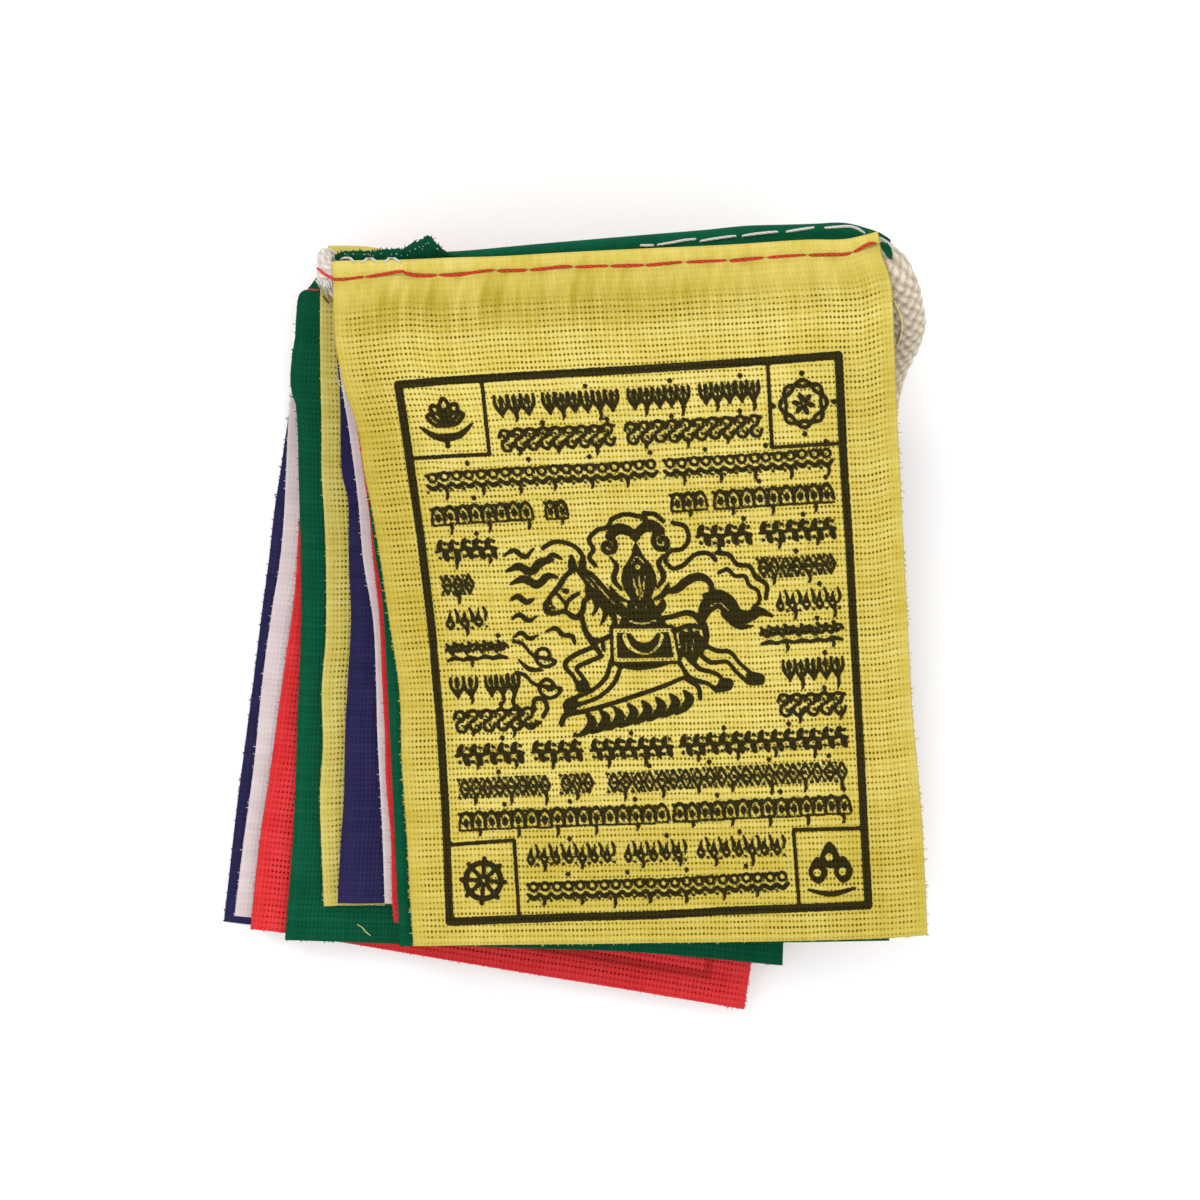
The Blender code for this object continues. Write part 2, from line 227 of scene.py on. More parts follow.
LOOK = {
    1: dict(
        top=[(333, 279.5), (348, 279), (365, 277), (403, 273.5), (430, 275), (462, 273.5), (497, 270.5), (530, 269.5),
             (583, 266.5), (644, 265), (686, 262), (727, 260.3), (764, 257.6), (806, 255), (846, 253.6), (857, 250.6),
             (869, 246), (880, 244)],
        fold=[(331.5, 263), (340, 262), (400, 261), (448, 259), (500, 257.5), (560, 254), (640, 250), (728, 246),
              (806, 241), (844, 240.5), (866, 236), (878, 232.5)],
        left=[(333, 279.5), (335, 338), (343.5, 384), (358, 430), (364, 471), (371, 505), (380, 558), (389, 619),
              (399.5, 692), (402, 765), (407, 839), (411, 912), (413.5, 946)],
        right=[(880, 244), (883, 258), (889, 276), (892, 293), (894, 340), (896, 396), (900, 475), (904, 557),
               (908, 632), (912, 707), (916.5, 758), (921, 809), (924.5, 872), (927.5, 935)],
        foot=[(413.5, 946), (500, 944.7), (593, 943.8), (640, 943), (783, 941), (889, 938), (927.5, 935)]),
    2: dict(
        top=[(340, 264), (448, 263), (640, 250), (746, 238.5), (800, 236), (844, 236), (868, 241), (889, 250)],
        fold=[(341, 256), (448, 253), (540, 245), (640, 236.5), (706, 231), (746, 227), (781, 226), (814, 225),
              (844, 224), (867, 229.5), (882, 235), (890, 241)],
        left=[(340, 264), (344, 300), (351, 350), (358, 410), (366, 480), (374, 545), (382.5, 604), (388, 700),
              (393, 800), (397, 890), (400, 946.5)],
        right=[(889, 250), (887.5, 262), (885, 280), (886, 400), (888, 600), (889, 800), (889, 940)],
        foot=[(400, 946.5), (413, 946), (500, 943), (640, 942), (783, 942.3), (889, 940.6)]),
    3: dict(
        top=[(341.6, 288), (500, 279), (640, 274), (868, 265)],
        left=[(341.6, 288), (348, 350), (355, 410), (363, 471), (368.7, 510), (373, 560), (379, 613), (382, 677),
              (385, 736), (386, 780), (391, 839), (392, 897), (394, 922)],
        right=[(868, 265), (874, 400), (880, 650), (886, 850), (890, 915)],
        foot=[(394, 922), (398, 923), (500, 921), (640, 918), (783, 916), (890, 915)]),
    4: dict(
        top=[(340, 271), (450, 271), (640, 258), (750, 250), (864, 250)],
        left=[(340, 271), (337.5, 320), (340, 372), (349, 430), (358, 498), (363, 558), (373, 619), (376, 677),
              (377.5, 736), (382, 824), (384.8, 903)],
        right=[(864, 250), (870, 500), (877, 893)],
        foot=[(384.8, 903), (392, 903.5), (640, 897), (877, 893)]),
    5: dict(
        top=[(337.5, 288.8), (600, 281), (841.8, 271.6)],
        left=[(337.5, 288.8), (336, 330), (337.7, 365), (340, 395), (342, 475), (348, 498), (349, 560), (351, 619),
              (348, 677), (345, 736), (344, 795), (341, 839), (337.5, 903)],
        right=[(841.8, 271.6), (840, 600), (837.7, 898)],
        foot=[(337.5, 903), (360, 903.5), (385, 903), (640, 899), (837.7, 898)]),
    6: dict(
        top=[(326, 263), (385, 266.5), (600, 259), (826, 250)],
        fold=[(328, 246.8), (364, 247.5), (390, 251), (500, 252), (640, 243.5), (826, 235)],
        left=[(326, 263), (322, 280), (320.5, 296), (320.5, 361), (321.7, 430), (321.7, 475), (324, 510), (326, 560),
              (326, 633), (321.7, 692), (323, 742), (320, 795), (321.7, 853), (323.8, 906)],
        right=[(826, 250), (824, 600), (823, 905.5)],
        foot=[(323.8, 906), (333, 906), (339, 905), (346, 904.3), (500, 903.4), (823, 903)]),
    7: dict(
        top=[(307, 290), (330, 292), (560, 298), (808, 304)],
        fold=[(317.5, 277), (330, 276), (560, 282), (808, 288)],
        left=[(307, 290), (299.5, 294), (296.5, 312), (295, 338), (292, 356), (290.6, 391), (294.6, 397), (297.6, 430),
              (298.7, 475), (300, 521), (301, 560), (301, 627), (298, 707), (295, 795), (292, 853), (285, 940)],
        right=[(808, 304), (800, 500), (790, 750), (782.5, 965.4)],
        foot=[(285, 940), (399.5, 943.8), (520, 948), (640, 952.4), (782.5, 965.4)]),
    8: dict(
        top=[(330, 268), (500, 292), (680, 318), (824.6, 342)],
        left=[(330, 268), (320, 340), (313, 400), (304, 475), (298.7, 528), (295, 589), (287, 650), (279, 707),
              (269, 780), (260, 839), (250.5, 929)],
        right=[(824.6, 342), (800, 560), (775, 780), (751, 964), (743.9, 1009.3)],
        foot=[(250.5, 929), (284.6, 933), (400, 952), (520, 972), (640, 991.7), (743.9, 1009.3)]),
    9: dict(
        top=[(323.6, 302), (560, 330), (799, 360)],
        left=[(323.6, 302), (306, 330), (294, 375), (290.7, 395), (288, 430), (283.8, 521), (279, 569), (273, 604),
              (263, 677), (254, 765), (244, 839), (234.6, 915.7)],
        right=[(799, 360), (765, 660), (732, 967.8)],
        foot=[(234.6, 915.7), (260, 918.3), (500, 943.5), (732, 967.8)]),
    10: dict(
        top=[(328.5, 279), (560, 308), (804, 338.8)],
        left=[(328.5, 279), (308, 330), (293, 390), (289.5, 411), (285, 441), (280, 475), (274.6, 510), (269, 560),
              (263, 604), (254, 677), (245.5, 742), (236.7, 809), (229, 877), (224, 921.4)],
        right=[(804, 338.8), (763, 660), (722, 981.7)],
        foot=[(224, 921.4), (250.6, 924.7), (480, 952.5), (722, 981.7)]),
}
LONG = 82.0           # cloth below the cord
WIDE = {1: 63.5, 2: 63.5, 3: 62.5, 4: 62.0, 5: 61.0, 6: 61.5, 7: 61.0, 8: 61.5, 9: 60.0, 10: 60.5}
THICK = 0.32          # the cotton
FOLD_S = -2.02        # the fold's edge beyond the cord's middle


class Plan:
    """Where a flag's cloth lies in the picture: u from left to right, s in mm below the cord."""

    def __init__(self, number):
        look = LOOK[number]
        self.n = 801
        self.t = np.linspace(0, 1, self.n)
        self.top = along(look["top"], self.t)
        self.foot = along(look["foot"], self.t)
        self.left = along(look["left"], self.t)
        self.right = along(look["right"], self.t)
        if "fold" in look:
            self.fold = along(look["fold"], self.t)
        else:
            d = np.gradient(self.top, axis=0)
            d /= np.linalg.norm(d, axis=1)[:, None]
            self.fold = self.top + np.stack([d[:, 1], -d[:, 0]], axis=1) * 16.2
        c = [self.top[0], self.top[-1], self.foot[0], self.foot[-1]]
        self.left = self.left + (1 - self.t)[:, None] * (c[0] - self.left[0]) + self.t[:, None] * (c[2] - self.left[-1])
        self.right = self.right + (1 - self.t)[:, None] * (c[1] - self.right[0]) + self.t[:, None] * (c[3] - self.right[-1])
        self.c = c

    def pick(self, line, t):
        return np.stack([np.interp(t, self.t, line[:, k]) for k in (0, 1)], axis=-1)

    def px(self, u, s):
        u, s = np.broadcast_arrays(np.asarray(u, float), np.asarray(s, float))
        v = np.clip(s / LONG, 0.0, None)
        uu, vv = u[..., None], v[..., None]
        vc = np.clip(v, 0, 1)
        body = ((1 - vv) * self.pick(self.top, u) + vv * self.pick(self.foot, u)
                + (1 - uu) * self.pick(self.left, vc) + uu * self.pick(self.right, vc)
                - (1 - uu) * (1 - vv) * self.c[0] - uu * (1 - vv) * self.c[1]
                - (1 - uu) * vv * self.c[2] - uu * vv * self.c[3])
        f = np.clip(s / FOLD_S, 0, None)[..., None]
        return body + f * (self.pick(self.fold, u) - self.pick(self.top, u))


# The fold of the hem round the cord, for a flag that lies face up: s, height over the cord's middle.
# It starts at the raw edge of the allowance, under the cloth, and ends where the single cloth begins.
HEM_UNDER = [(3.9, None), (3.3, None), (2.7, None), (2.0, None), (1.3, -0.84), (0.6, -0.80), (0.0, -0.70), (-0.6, -0.80),
             (-1.2, -0.78), (-1.65, -0.58), (-1.93, -0.30), (-2.02, 0.0), (-1.95, 0.30), (-1.68, 0.60), (-1.25, 0.82),
             (-0.8, 0.92), (-0.45, 0.84), (-0.2, 0.64), (0.0, 0.50), (0.2, 0.62), (0.45, 0.76), (0.8, 0.84), (1.2, 0.87),
             (1.6, 0.90), (2.0, 0.88), (2.4, 0.85), (2.8, 0.82), (3.3, 0.78), (3.9, 0.72), (4.6, 0.65), (5.4, 0.55)]


def hem_rows():
    s = np.array([r[0] for r in HEM_UNDER])
    h = np.array([-0.80 if r[1] is None else r[1] for r in HEM_UNDER])
    t = np.concatenate([[0.0], np.cumsum(np.hypot(np.diff(s), np.diff(h)))])
    k = [i for i, r in enumerate(HEM_UNDER) if r[0] == 0.0][1]
    return s, h, t - t[k]


def cloth_points(number, us, rows_s, stitch=None, ripple=None):
    """Middle surface of one flag in mm, rows from the raw edge of its allowance to its foot."""
    plan = Plan(number)
    face = 1.0 if number % 2 else -1.0
    hs, hh, ht = hem_rows()
    body_s = np.asarray(rows_s, float)
    s = np.concatenate([hs, body_s])
    flat = np.concatenate([ht, body_s + (ht[-1] - hs[-1])])
    under = np.concatenate([np.array([i < 11 for i in range(len(hs))]), np.zeros(len(body_s), bool)])
    U, S = np.meshgrid(us, s)
    h = np.concatenate([hh, np.full(len(body_s), 0.5)])[:, None] * np.ones_like(U)
    p = plan.px(U, S)
    zc = np.polyval(HEM_Z[number], np.clip(us, 0.03, 0.97))[None, :] * np.ones_like(U)
    if stitch is not None:
        h = h + stitch(U * WIDE[number], S, under[:, None] & np.ones_like(U, bool))
    z = zc.copy()
    for _ in range(3):
        x, y = at(p[..., 0], p[..., 1], z)
        zb = lookup(BODY[number], x, y)
        lead = ease(S, 1.4, 6.5)
        zz = (zc + face * h) * (1 - lead) + zb * lead
        tuck = zc + face * h
        low = ease(S, 0.9, 3.0)
        tuck = tuck * (1 - low) + (zz - face * 0.46) * low
        z = np.where(under[:, None], tuck, zz)
    if ripple is not None:
        z = z + ripple(U * WIDE[number], S, x, y) * ease(S, 2.0, 7.0)
    if number == 10:
        z = np.maximum(z, 0.5 * THICK + 0.02)
    x, y = at(p[..., 0], p[..., 1], z)
    return np.stack([x, y, z], axis=-1), flat, s, under


def grid_normals(P):
    du = np.gradient(P, axis=1)
    ds = np.gradient(P, axis=0)
    n = np.cross(ds, du)
    n /= np.linalg.norm(n, axis=-1)[..., None]
    return n


def build_mesh(name, verts, faces, smooth=True):
    me = bpy.data.meshes.new(name)
    me.from_pydata([tuple(v) for v in np.asarray(verts) * MM], [], faces)
    me.validate()
    me.update()
    if smooth:
        me.polygons.foreach_set("use_smooth", [True] * len(me.polygons))
    return me


def float_attr(me, name, values):
    a = me.attributes.new(name, "FLOAT", "POINT")
    a.data.foreach_set("value", np.asarray(values, np.float32))


def vec_attr(me, name, values):
    a = me.attributes.new(name, "FLOAT_VECTOR", "POINT")
    a.data.foreach_set("vector", np.asarray(values, np.float32).ravel())


def sheet_object(number, name, P, us, flat, s, keep_rows, keep_cols, inks=(None, None), shade=None, s_under=None):
    """A closed thin sheet round the middle surface P. The other side may have fewer rows and columns."""
    n = grid_normals(P)
    face = 1.0 if number % 2 else -1.0
    R, C = P.shape[:2]
    upper = P + n * THICK / 2          # the side that looks up in the body
    lower = P - n * THICK / 2
    fine, coarse = (upper, lower) if number != 10 else (lower, upper)
    kr, kc = np.asarray(keep_rows), np.asarray(keep_cols)
    coarse = coarse[np.ix_(kr, kc)]
    verts = np.vstack([fine.reshape(-1, 3), coarse.reshape(-1, 3)])
    base = R * C
    cr, cc = len(kr), len(kc)

    def A(i, j):
        return i * C + j

    def B(i, j):
        return base + i * cc + j

    faces, kinds = [], []
    flip = number == 10
    for i in range(R - 1):
        for j in range(C - 1):
            q = (A(i, j), A(i + 1, j), A(i + 1, j + 1), A(i, j + 1))
            faces.append(q if not flip else q[::-1])
            kinds.append(0)
    for i in range(cr - 1):
        for j in range(cc - 1):
            q = (B(i, j), B(i, j + 1), B(i + 1, j + 1), B(i + 1, j))
            faces.append(q if not flip else q[::-1])
            kinds.append(1)
    for i in range(cr - 1):
        a, b = kr[i], kr[i + 1]
        q = tuple(A(k, 0) for k in range(a, b + 1)) + (B(i + 1, 0), B(i, 0))
        faces.append(q[::-1] if not flip else q)
        kinds.append(2)
        q = tuple(A(k, C - 1) for k in range(a, b + 1)) + (B(i + 1, cc - 1), B(i, cc - 1))
        faces.append(q if not flip else q[::-1])
        kinds.append(3)
    for j in range(cc - 1):
        a, b = kc[j], kc[j + 1]
        q = tuple(A(0, k) for k in range(a, b + 1)) + (B(0, j + 1), B(0, j))
        faces.append(q if not flip else q[::-1])
        kinds.append(4)
        q = tuple(A(R - 1, k) for k in range(a, b + 1)) + (B(cr - 1, j + 1), B(cr - 1, j))
        faces.append(q[::-1] if not flip else q)
        kinds.append(5)
    me = build_mesh(name, verts, faces)
    wide = WIDE[number]
    U, T = np.meshgrid(us * wide, flat)
    S = np.repeat(s[:, None], len(us), axis=1)
    side = np.minimum(U, wide - U)
    # how open the weave is: closer along the raw sides, and where the cloth lies double
    openness = (0.25 + 0.75 * ease(side, 0.5, 2.2)) * (0.12 + 0.88 * ease(T, 3.0, 5.2))
    openness = openness * (0.4 + 0.6 * ease(LONG - S, 0.2, 1.0))
    cloth = np.stack([U, T, openness], axis=-1)
    both = np.vstack([cloth.reshape(-1, 3), cloth[np.ix_(kr, kc)].reshape(-1, 3)])
    vec_attr(me, "cloth", both)
    dark = np.zeros((R, C)) if shade is None else shade(U, S) * ~np.repeat((s_under)[:, None], C, axis=1)
    float_attr(me, "shade", np.concatenate([dark.ravel(), dark[np.ix_(kr, kc)].ravel()]))
    ink = [np.full((R, C), 9.0) if v is None else v for v in inks]
    float_attr(me, "ink", np.concatenate([ink[0].ravel(), ink[1][np.ix_(kr, kc)].ravel()]))
    # a flat layout for the baked maps: the fine side takes most of it
    uv = me.uv_layers.new(name="OFBake")
    fu = 0.01 + 0.845 * (us - us[0]) / (us[-1] - us[0])
    fv = 0.99 - 0.98 * (flat - flat[0]) / (flat[-1] - flat[0])
    co = np.zeros((len(verts), 2))
    FU, FV = np.meshgrid(fu, fv)
    co[:base] = np.stack([FU, FV], axis=-1).reshape(-1, 2)
    CU, CV = np.meshgrid(0.90 + 0.09 * (us[kc] - us[0]) / (us[-1] - us[0]), fv[kr])
    co[base:] = np.stack([CU, CV], axis=-1).reshape(-1, 2)
    loops = np.zeros(len(me.loops), int)
    me.loops.foreach_get("vertex_index", loops)
    out = co[loops]
    starts = np.zeros(len(me.polygons), int)
    totals = np.zeros(len(me.polygons), int)
    me.polygons.foreach_get("loop_start", starts)
    me.polygons.foreach_get("loop_total", totals)
    kinds = np.array(kinds)
    assert len(kinds) == len(me.polygons)
    for kind in (2, 3, 4, 5):
        x0 = 0.862 + 0.009 * (kind - 2)
        for f in np.nonzero(kinds == kind)[0]:
            r = slice(starts[f], starts[f] + totals[f])
            v = loops[r]
            inner = v >= base
            if kind < 4:
                pos = co[v, 1]
            else:
                pos = np.where(inner, 0.01 + (co[v, 0] - 0.90) / 0.09 * 0.98, 0.01 + (co[v, 0] - 0.01) / 0.845 * 0.98)
            out[r, 0] = x0 + 0.006 * inner
            out[r, 1] = pos
    uv.data.foreach_set("uv", out.astype(np.float32).ravel())
    ob = bpy.data.objects.new(name, me)
    bpy.context.scene.collection.objects.link(ob)
    return ob


# ----------------------------------------------------------------- the print

class Block:
    """A printing block: distance to the nearest inked edge in mm, below zero in the ink."""
    RES = 0.1
    PAD = 1.5

    def __init__(self, wide, high):
        self.x = np.arange(-self.PAD, wide + self.PAD, self.RES)
        self.y = np.arange(-self.PAD, high + self.PAD, self.RES)
        self.f = np.full((len(self.y), len(self.x)), 2.0)

    def window(self, x0, x1, y0, y1, m=0.9):
        j0 = int(max(0, (x0 - m + self.PAD) / self.RES))
        j1 = int(min(len(self.x), (x1 + m + self.PAD) / self.RES + 2))
        i0 = int(max(0, (y0 - m + self.PAD) / self.RES))
        i1 = int(min(len(self.y), (y1 + m + self.PAD) / self.RES + 2))
        return slice(i0, max(i0, i1)), slice(j0, max(j0, j1))

    def put(self, win, d, cut):
        cur = self.f[win]
        self.f[win] = np.maximum(cur, -d) if cut else np.minimum(cur, d)

    def line(self, points, width, cut=False, smooth=True, closed=False):
        """A stroke along the points; width is one number, or one at each point."""
        p = np.asarray(points, float)
        w = np.full(len(p), width, float) if np.isscalar(width) else np.asarray(width, float)
        q = np.column_stack([p, w])
        if smooth and len(p) > 2:
            q = dense(q, 0.3, closed)
        elif closed:
            q = np.vstack([q, q[:1]])
        for a, b in zip(q[:-1], q[1:]):
            r = max(a[2], b[2]) / 2
            win = self.window(min(a[0], b[0]), max(a[0], b[0]), min(a[1], b[1]), max(a[1], b[1]), r + 0.5)
            X, Y = np.meshgrid(self.x[win[1]], self.y[win[0]])
            if not X.size:
                continue
            dx, dy = b[0] - a[0], b[1] - a[1]
            t = np.clip(((X - a[0]) * dx + (Y - a[1]) * dy) / max(1e-9, dx * dx + dy * dy), 0, 1)
            d = np.hypot(X - a[0] - t * dx, Y - a[1] - t * dy) - (a[2] + (b[2] - a[2]) * t) / 2
            self.put(win, d, cut)

    def fill(self, points, cut=False, smooth=True):
        p = dense(points, 0.35, True)[:-1] if smooth else np.asarray(points, float)
        win = self.window(p[:, 0].min(), p[:, 0].max(), p[:, 1].min(), p[:, 1].max())
        X, Y = np.meshgrid(self.x[win[1]], self.y[win[0]])
        inside = np.zeros(X.shape, bool)
        d = np.full(X.shape, 9.0)
        for a, b in zip(p, np.roll(p, -1, axis=0)):
            dx, dy = b - a
            t = np.clip(((X - a[0]) * dx + (Y - a[1]) * dy) / max(1e-9, dx * dx + dy * dy), 0, 1)
            d = np.minimum(d, np.hypot(X - a[0] - t * dx, Y - a[1] - t * dy))
            if abs(dy) > 1e-9:
                hit = ((a[1] > Y) != (b[1] > Y)) & (X < dx * (Y - a[1]) / dy + a[0])
                inside ^= hit
        self.put(win, np.where(inside, -d, d), cut)

    def dot(self, x, y, r, cut=False, wide=1.0):
        win = self.window(x - r * wide, x + r * wide, y - r, y + r)
        X, Y = np.meshgrid(self.x[win[1]], self.y[win[0]])
        self.put(win, np.hypot((X - x) / wide, Y - y) - r, cut)

    def sample(self, x, y):
        a = np.clip((x + self.PAD) / self.RES, 0, len(self.x) - 1.001)
        b = np.clip((y + self.PAD) / self.RES, 0, len(self.y) - 1.001)
        i, j = np.floor(b).astype(int), np.floor(a).astype(int)
        p, q = b - i, a - j
        g = self.f
        return ((g[i, j] * (1 - q) + g[i, j + 1] * q) * (1 - p)
                + (g[i + 1, j] * (1 - q) + g[i + 1, j + 1] * q) * p)


PRINT_W, PRINT_H = 53.6, 67.4
block = Block(PRINT_W, PRINT_H)


def spiral(cx, cy, r, turns, start, w, hand=1.0, n=18, tail=()):
    """A curl that opens from its middle, then runs on along tail."""
    pts = []
    for k in range(n):
        t = k / (n - 1)
        a = start + hand * turns * 2 * math.pi * (t - 1)
        pts.append((cx + r * (0.18 + 0.82 * t) * math.cos(a), cy + r * (0.18 + 0.82 * t) * math.sin(a)))
    pts += list(tail)
    block.line(pts, w)


# small repeated ornaments for the borders of rows, each drawn in a cell: x, top, cell width, cell height

def drop(x, y, long, w=0.42):
    """A small pendant under a row."""
    block.line([(x, y), (x + 0.05, y + long * 0.6), (x - 0.12, y + long)], [w, w, 0.3])


def o_scroll(x, y, w, h, k):
    block.line([(x + w * 0.04, y + h * 0.34), (x + w * 0.26, y + h * 0.04), (x + w * 0.74, y + h * 0.08), (x + w * 0.70, y + h * 0.42),
                (x + w * 0.26, y + h * 0.56), (x + w * 0.30, y + h * 0.92), (x + w * 0.78, y + h * 0.98), (x + w * 1.0, y + h * 0.66)], 0.42)
    block.dot(x + w * 0.40, y + h * 0.30, 0.20)
    block.dot(x + w * 0.66, y + h * 0.72, 0.20)
    block.dot(x + w * 0.98, y + h * 0.10, 0.24)


def o_leaf(x, y, w, h, k):
    m = y + h * 0.50
    block.line([(x, m + 0.1), (x + w * 0.5, m - 0.1), (x + w, m + 0.1)], 0.42)
    block.fill([(x + w * 0.06, m), (x + w * 0.14, y + h * 0.10), (x + w * 0.56, y - h * 0.04), (x + w * 0.48, y + h * 0.38)])
    block.fill([(x + w * 0.52, m), (x + w * 0.56, y + h * 0.92), (x + w * 0.98, y + h * 1.04), (x + w * 0.94, y + h * 0.60)])
    block.dot(x + w * 0.80, y + h * 0.18, 0.25)
    block.dot(x + w * 0.26, y + h * 0.84, 0.25)


def o_lozenge(x, y, w, h, k):
    c = (x + w * 0.5, y + h * 0.5)
    a, b = w * 0.42, h * 0.44
    block.line([(c[0] - a, c[1]), (c[0], c[1] - b), (c[0] + a, c[1]), (c[0], c[1] + b)], 0.36, smooth=False, closed=True)
    block.dot(c[0], c[1], 0.24)
    for y0, y1 in ((y, y + h * 0.30), (y + h, y + h * 0.70)):
        block.fill([(x - w * 0.20, y0), (x + w * 0.20, y0), (x, y1)], smooth=False)


def o_bud(x, y, w, h, k):
    c = x + w * 0.5
    block.fill([(c, y - h * 0.04), (c + w * 0.20, y + h * 0.26), (c, y + h * 0.62), (c - w * 0.20, y + h * 0.26)])
    for q in (-1, 1):
        block.line([(c + q * w * 0.46, y + h * 0.02), (c + q * w * 0.45, y + h * 0.46), (c + q * w * 0.06, y + h * 0.88)], [0.34, 0.46, 0.42])
    block.line([(c, y + h * 0.6), (c, y + h * 1.0)], 0.36)


def o_loop(x, y, w, h, k):
    c = (x + w * 0.5, y + h * 0.32)
    r = min(w * 0.34, h * 0.28)
    block.line([(c[0] + r * math.cos(a), c[1] + r * math.sin(a)) for a in (0.0, 1.05, 2.1, 3.14, 4.19, 5.24)], 0.36, closed=True)
    block.dot(x, y + h * 0.18, 0.24)
    block.line([(x, y + h * 0.66), (x + w * 0.5, y + h * 0.86), (x + w, y + h * 0.66)], [0.4, 0.6, 0.4])
    block.dot(x, y + h * 0.98, 0.20)


def o_flame(x, y, w, h, k):
    b = y + h * 1.0
    block.fill([(x + w * 0.42, b), (x + w * 0.04, b - h * 0.32), (x + w * 0.26, b - h * 0.60), (x + w * 0.50, b - h * 1.02),
                (x + w * 0.58, b - h * 0.55), (x + w * 0.76, b - h * 0.28)])
    block.dot(x + w * 0.40, b - h * 0.30, 0.20, cut=True)
    block.line([(x + w * 0.84, b - h * 1.0), (x + w * 1.0, b - h * 0.66), (x + w * 0.90, b - h * 0.36)], [0.3, 0.44, 0.3])
    block.dot(x + w * 0.94, b - h * 0.06, 0.22)


def o_cloud(x, y, w, h, k):
    spiral(x + w * 0.28, y + h * 0.42, h * 0.25, 1.0, math.pi, 0.38, -1.0, 12)
    spiral(x + w * 0.76, y + h * 0.36, h * 0.25, 1.0, 0.0, 0.38, 1.0, 12)
    block.line([(x, y + h * 0.86), (x + w * 0.50, y + h * 0.78), (x + w, y + h * 0.86)], [0.4, 0.56, 0.4])
    block.dot(x + w * 0.50, y + h * 0.06, 0.26)
    block.dot(x + w * 0.02, y + h * 0.10, 0.22)


def o_arch(x, y, w, h, k):
    """An arcade: a round arch over a bead, on a plain base."""
    block.line([(x, y + h * 0.80), (x + w * 0.12, y + h * 0.34), (x + w * 0.5, y + h * 0.10), (x + w * 0.88, y + h * 0.34),
                (x + w, y + h * 0.80)], [0.40, 0.36, 0.48, 0.36, 0.40])
    block.fill([(x + w * 0.5, y + h * 0.34), (x + w * 0.74, y + h * 0.60), (x + w * 0.5, y + h * 0.82), (x + w * 0.26, y + h * 0.60)])
    block.line([(x, y + h * 0.94), (x + w, y + h * 0.94)], 0.28, smooth=False)
    block.dot(x, y + h * 0.16, 0.24)


def row(kind, x0, x1, top, cell, high=3.0, lean=0.0):
    """One row of a repeated ornament from x0 to x1, with pendants here and there."""
    n = max(1, int(round((x1 - x0) / cell)))
    w = (x1 - x0) / n
    for k in range(n):
        x = x0 + k * w
        y = top + lean * (x - x0) + rng.uniform(-0.06, 0.06)
        kind(x + rng.uniform(-0.05, 0.05), y, w, high, k)
        if k % 3 == 1:
            drop(x + w * rng.uniform(0.35, 0.65), y + high * 0.92, rng.uniform(0.7, 1.3))
        if k % 5 == 3:
            block.fill([(x + w * 0.5, y - 0.95), (x + w * 0.5 + 0.34, y - 0.58), (x + w * 0.5, y - 0.22), (x + w * 0.5 - 0.34, y - 0.58)])


# frame, corner boxes and their divisions
block.line([(0.5, 0.5), (PRINT_W - 0.5, 0.5), (PRINT_W - 0.5, PRINT_H - 0.5), (0.5, PRINT_H - 0.5)], 1.0, smooth=False, closed=True)
BOX = {"tl": (0.8, 0.8, 10.3, 9.6), "tr": (44.6, 0.8, 52.8, 11.0), "bl": (0.8, 57.0, 9.0, 66.6), "br": (44.0, 57.4, 52.8, 66.6)}
block.line([(10.4, 1.0), (10.2, 9.8), (1.0, 9.6)], 0.46, smooth=False)
block.line([(44.6, 1.0), (44.5, 11.0), (52.6, 11.1)], 0.46, smooth=False)
block.line([(1.0, 57.4), (9.0, 57.2), (9.2, 66.4)], 0.46, smooth=False)
block.line([(52.6, 57.6), (44.2, 57.4), (44.4, 66.4)], 0.46, smooth=False)


def lotus(cx, cy, r):
    for a in (-1.15, -0.6, 0.0, 0.6, 1.15):
        s, c = math.sin(a), math.cos(a)
        L = r * (1.0 - 0.18 * abs(a))
        tip = (cx + L * s, cy - L * c)
        n = (c, s)
        block.line([(cx, cy + 0.4), (cx + L * 0.5 * s + n[0] * r * 0.24, cy - L * 0.5 * c + n[1] * r * 0.24), tip,
                    (cx + L * 0.5 * s - n[0] * r * 0.24, cy - L * 0.5 * c - n[1] * r * 0.24), (cx, cy + 0.4)], 0.46)
    block.line([(cx - r * 1.05, cy + 0.3), (cx - r * 0.5, cy + r * 0.52), (cx, cy + r * 0.60), (cx + r * 0.5, cy + r * 0.52),
                (cx + r * 1.05, cy + 0.3)], [0.3, 0.8, 1.0, 0.8, 0.3])
    block.line([(cx, cy + r * 0.55), (cx - 0.2, cy + r * 0.95)], 0.6)


def knot(cx, cy, r):
    """Two laced rounded squares round a flower."""
    for turn in (0.0, math.pi / 4):
        ring = []
        for k in range(4):
            a = turn + k * math.pi / 2
            for o, q in ((-0.30, 1.06), (0.0, 1.18), (0.30, 1.06)):
                ring.append((cx + r * q * math.cos(a + o), cy + r * q * math.sin(a + o)))
            b = a + math.pi / 4
            ring.append((cx + r * 0.84 * math.cos(b), cy + r * 0.84 * math.sin(b)))
        block.line(ring, 0.46, closed=True)
    for k in range(6):
        a = k * math.pi / 3 + 0.2
        block.fill([(cx + 0.25 * math.cos(a), cy + 0.25 * math.sin(a)), (cx + r * 0.42 * math.cos(a + 0.35), cy + r * 0.42 * math.sin(a + 0.35)),
                    (cx + r * 0.62 * math.cos(a), cy + r * 0.62 * math.sin(a)), (cx + r * 0.42 * math.cos(a - 0.35), cy + r * 0.42 * math.sin(a - 0.35))])
    block.dot(cx, cy, 0.42)
    block.dot(cx, cy, 0.18, cut=True)
    for k in range(4):
        a = k * math.pi / 2
        block.dot(cx + r * 1.5 * math.cos(a), cy + r * 1.5 * math.sin(a), 0.34)


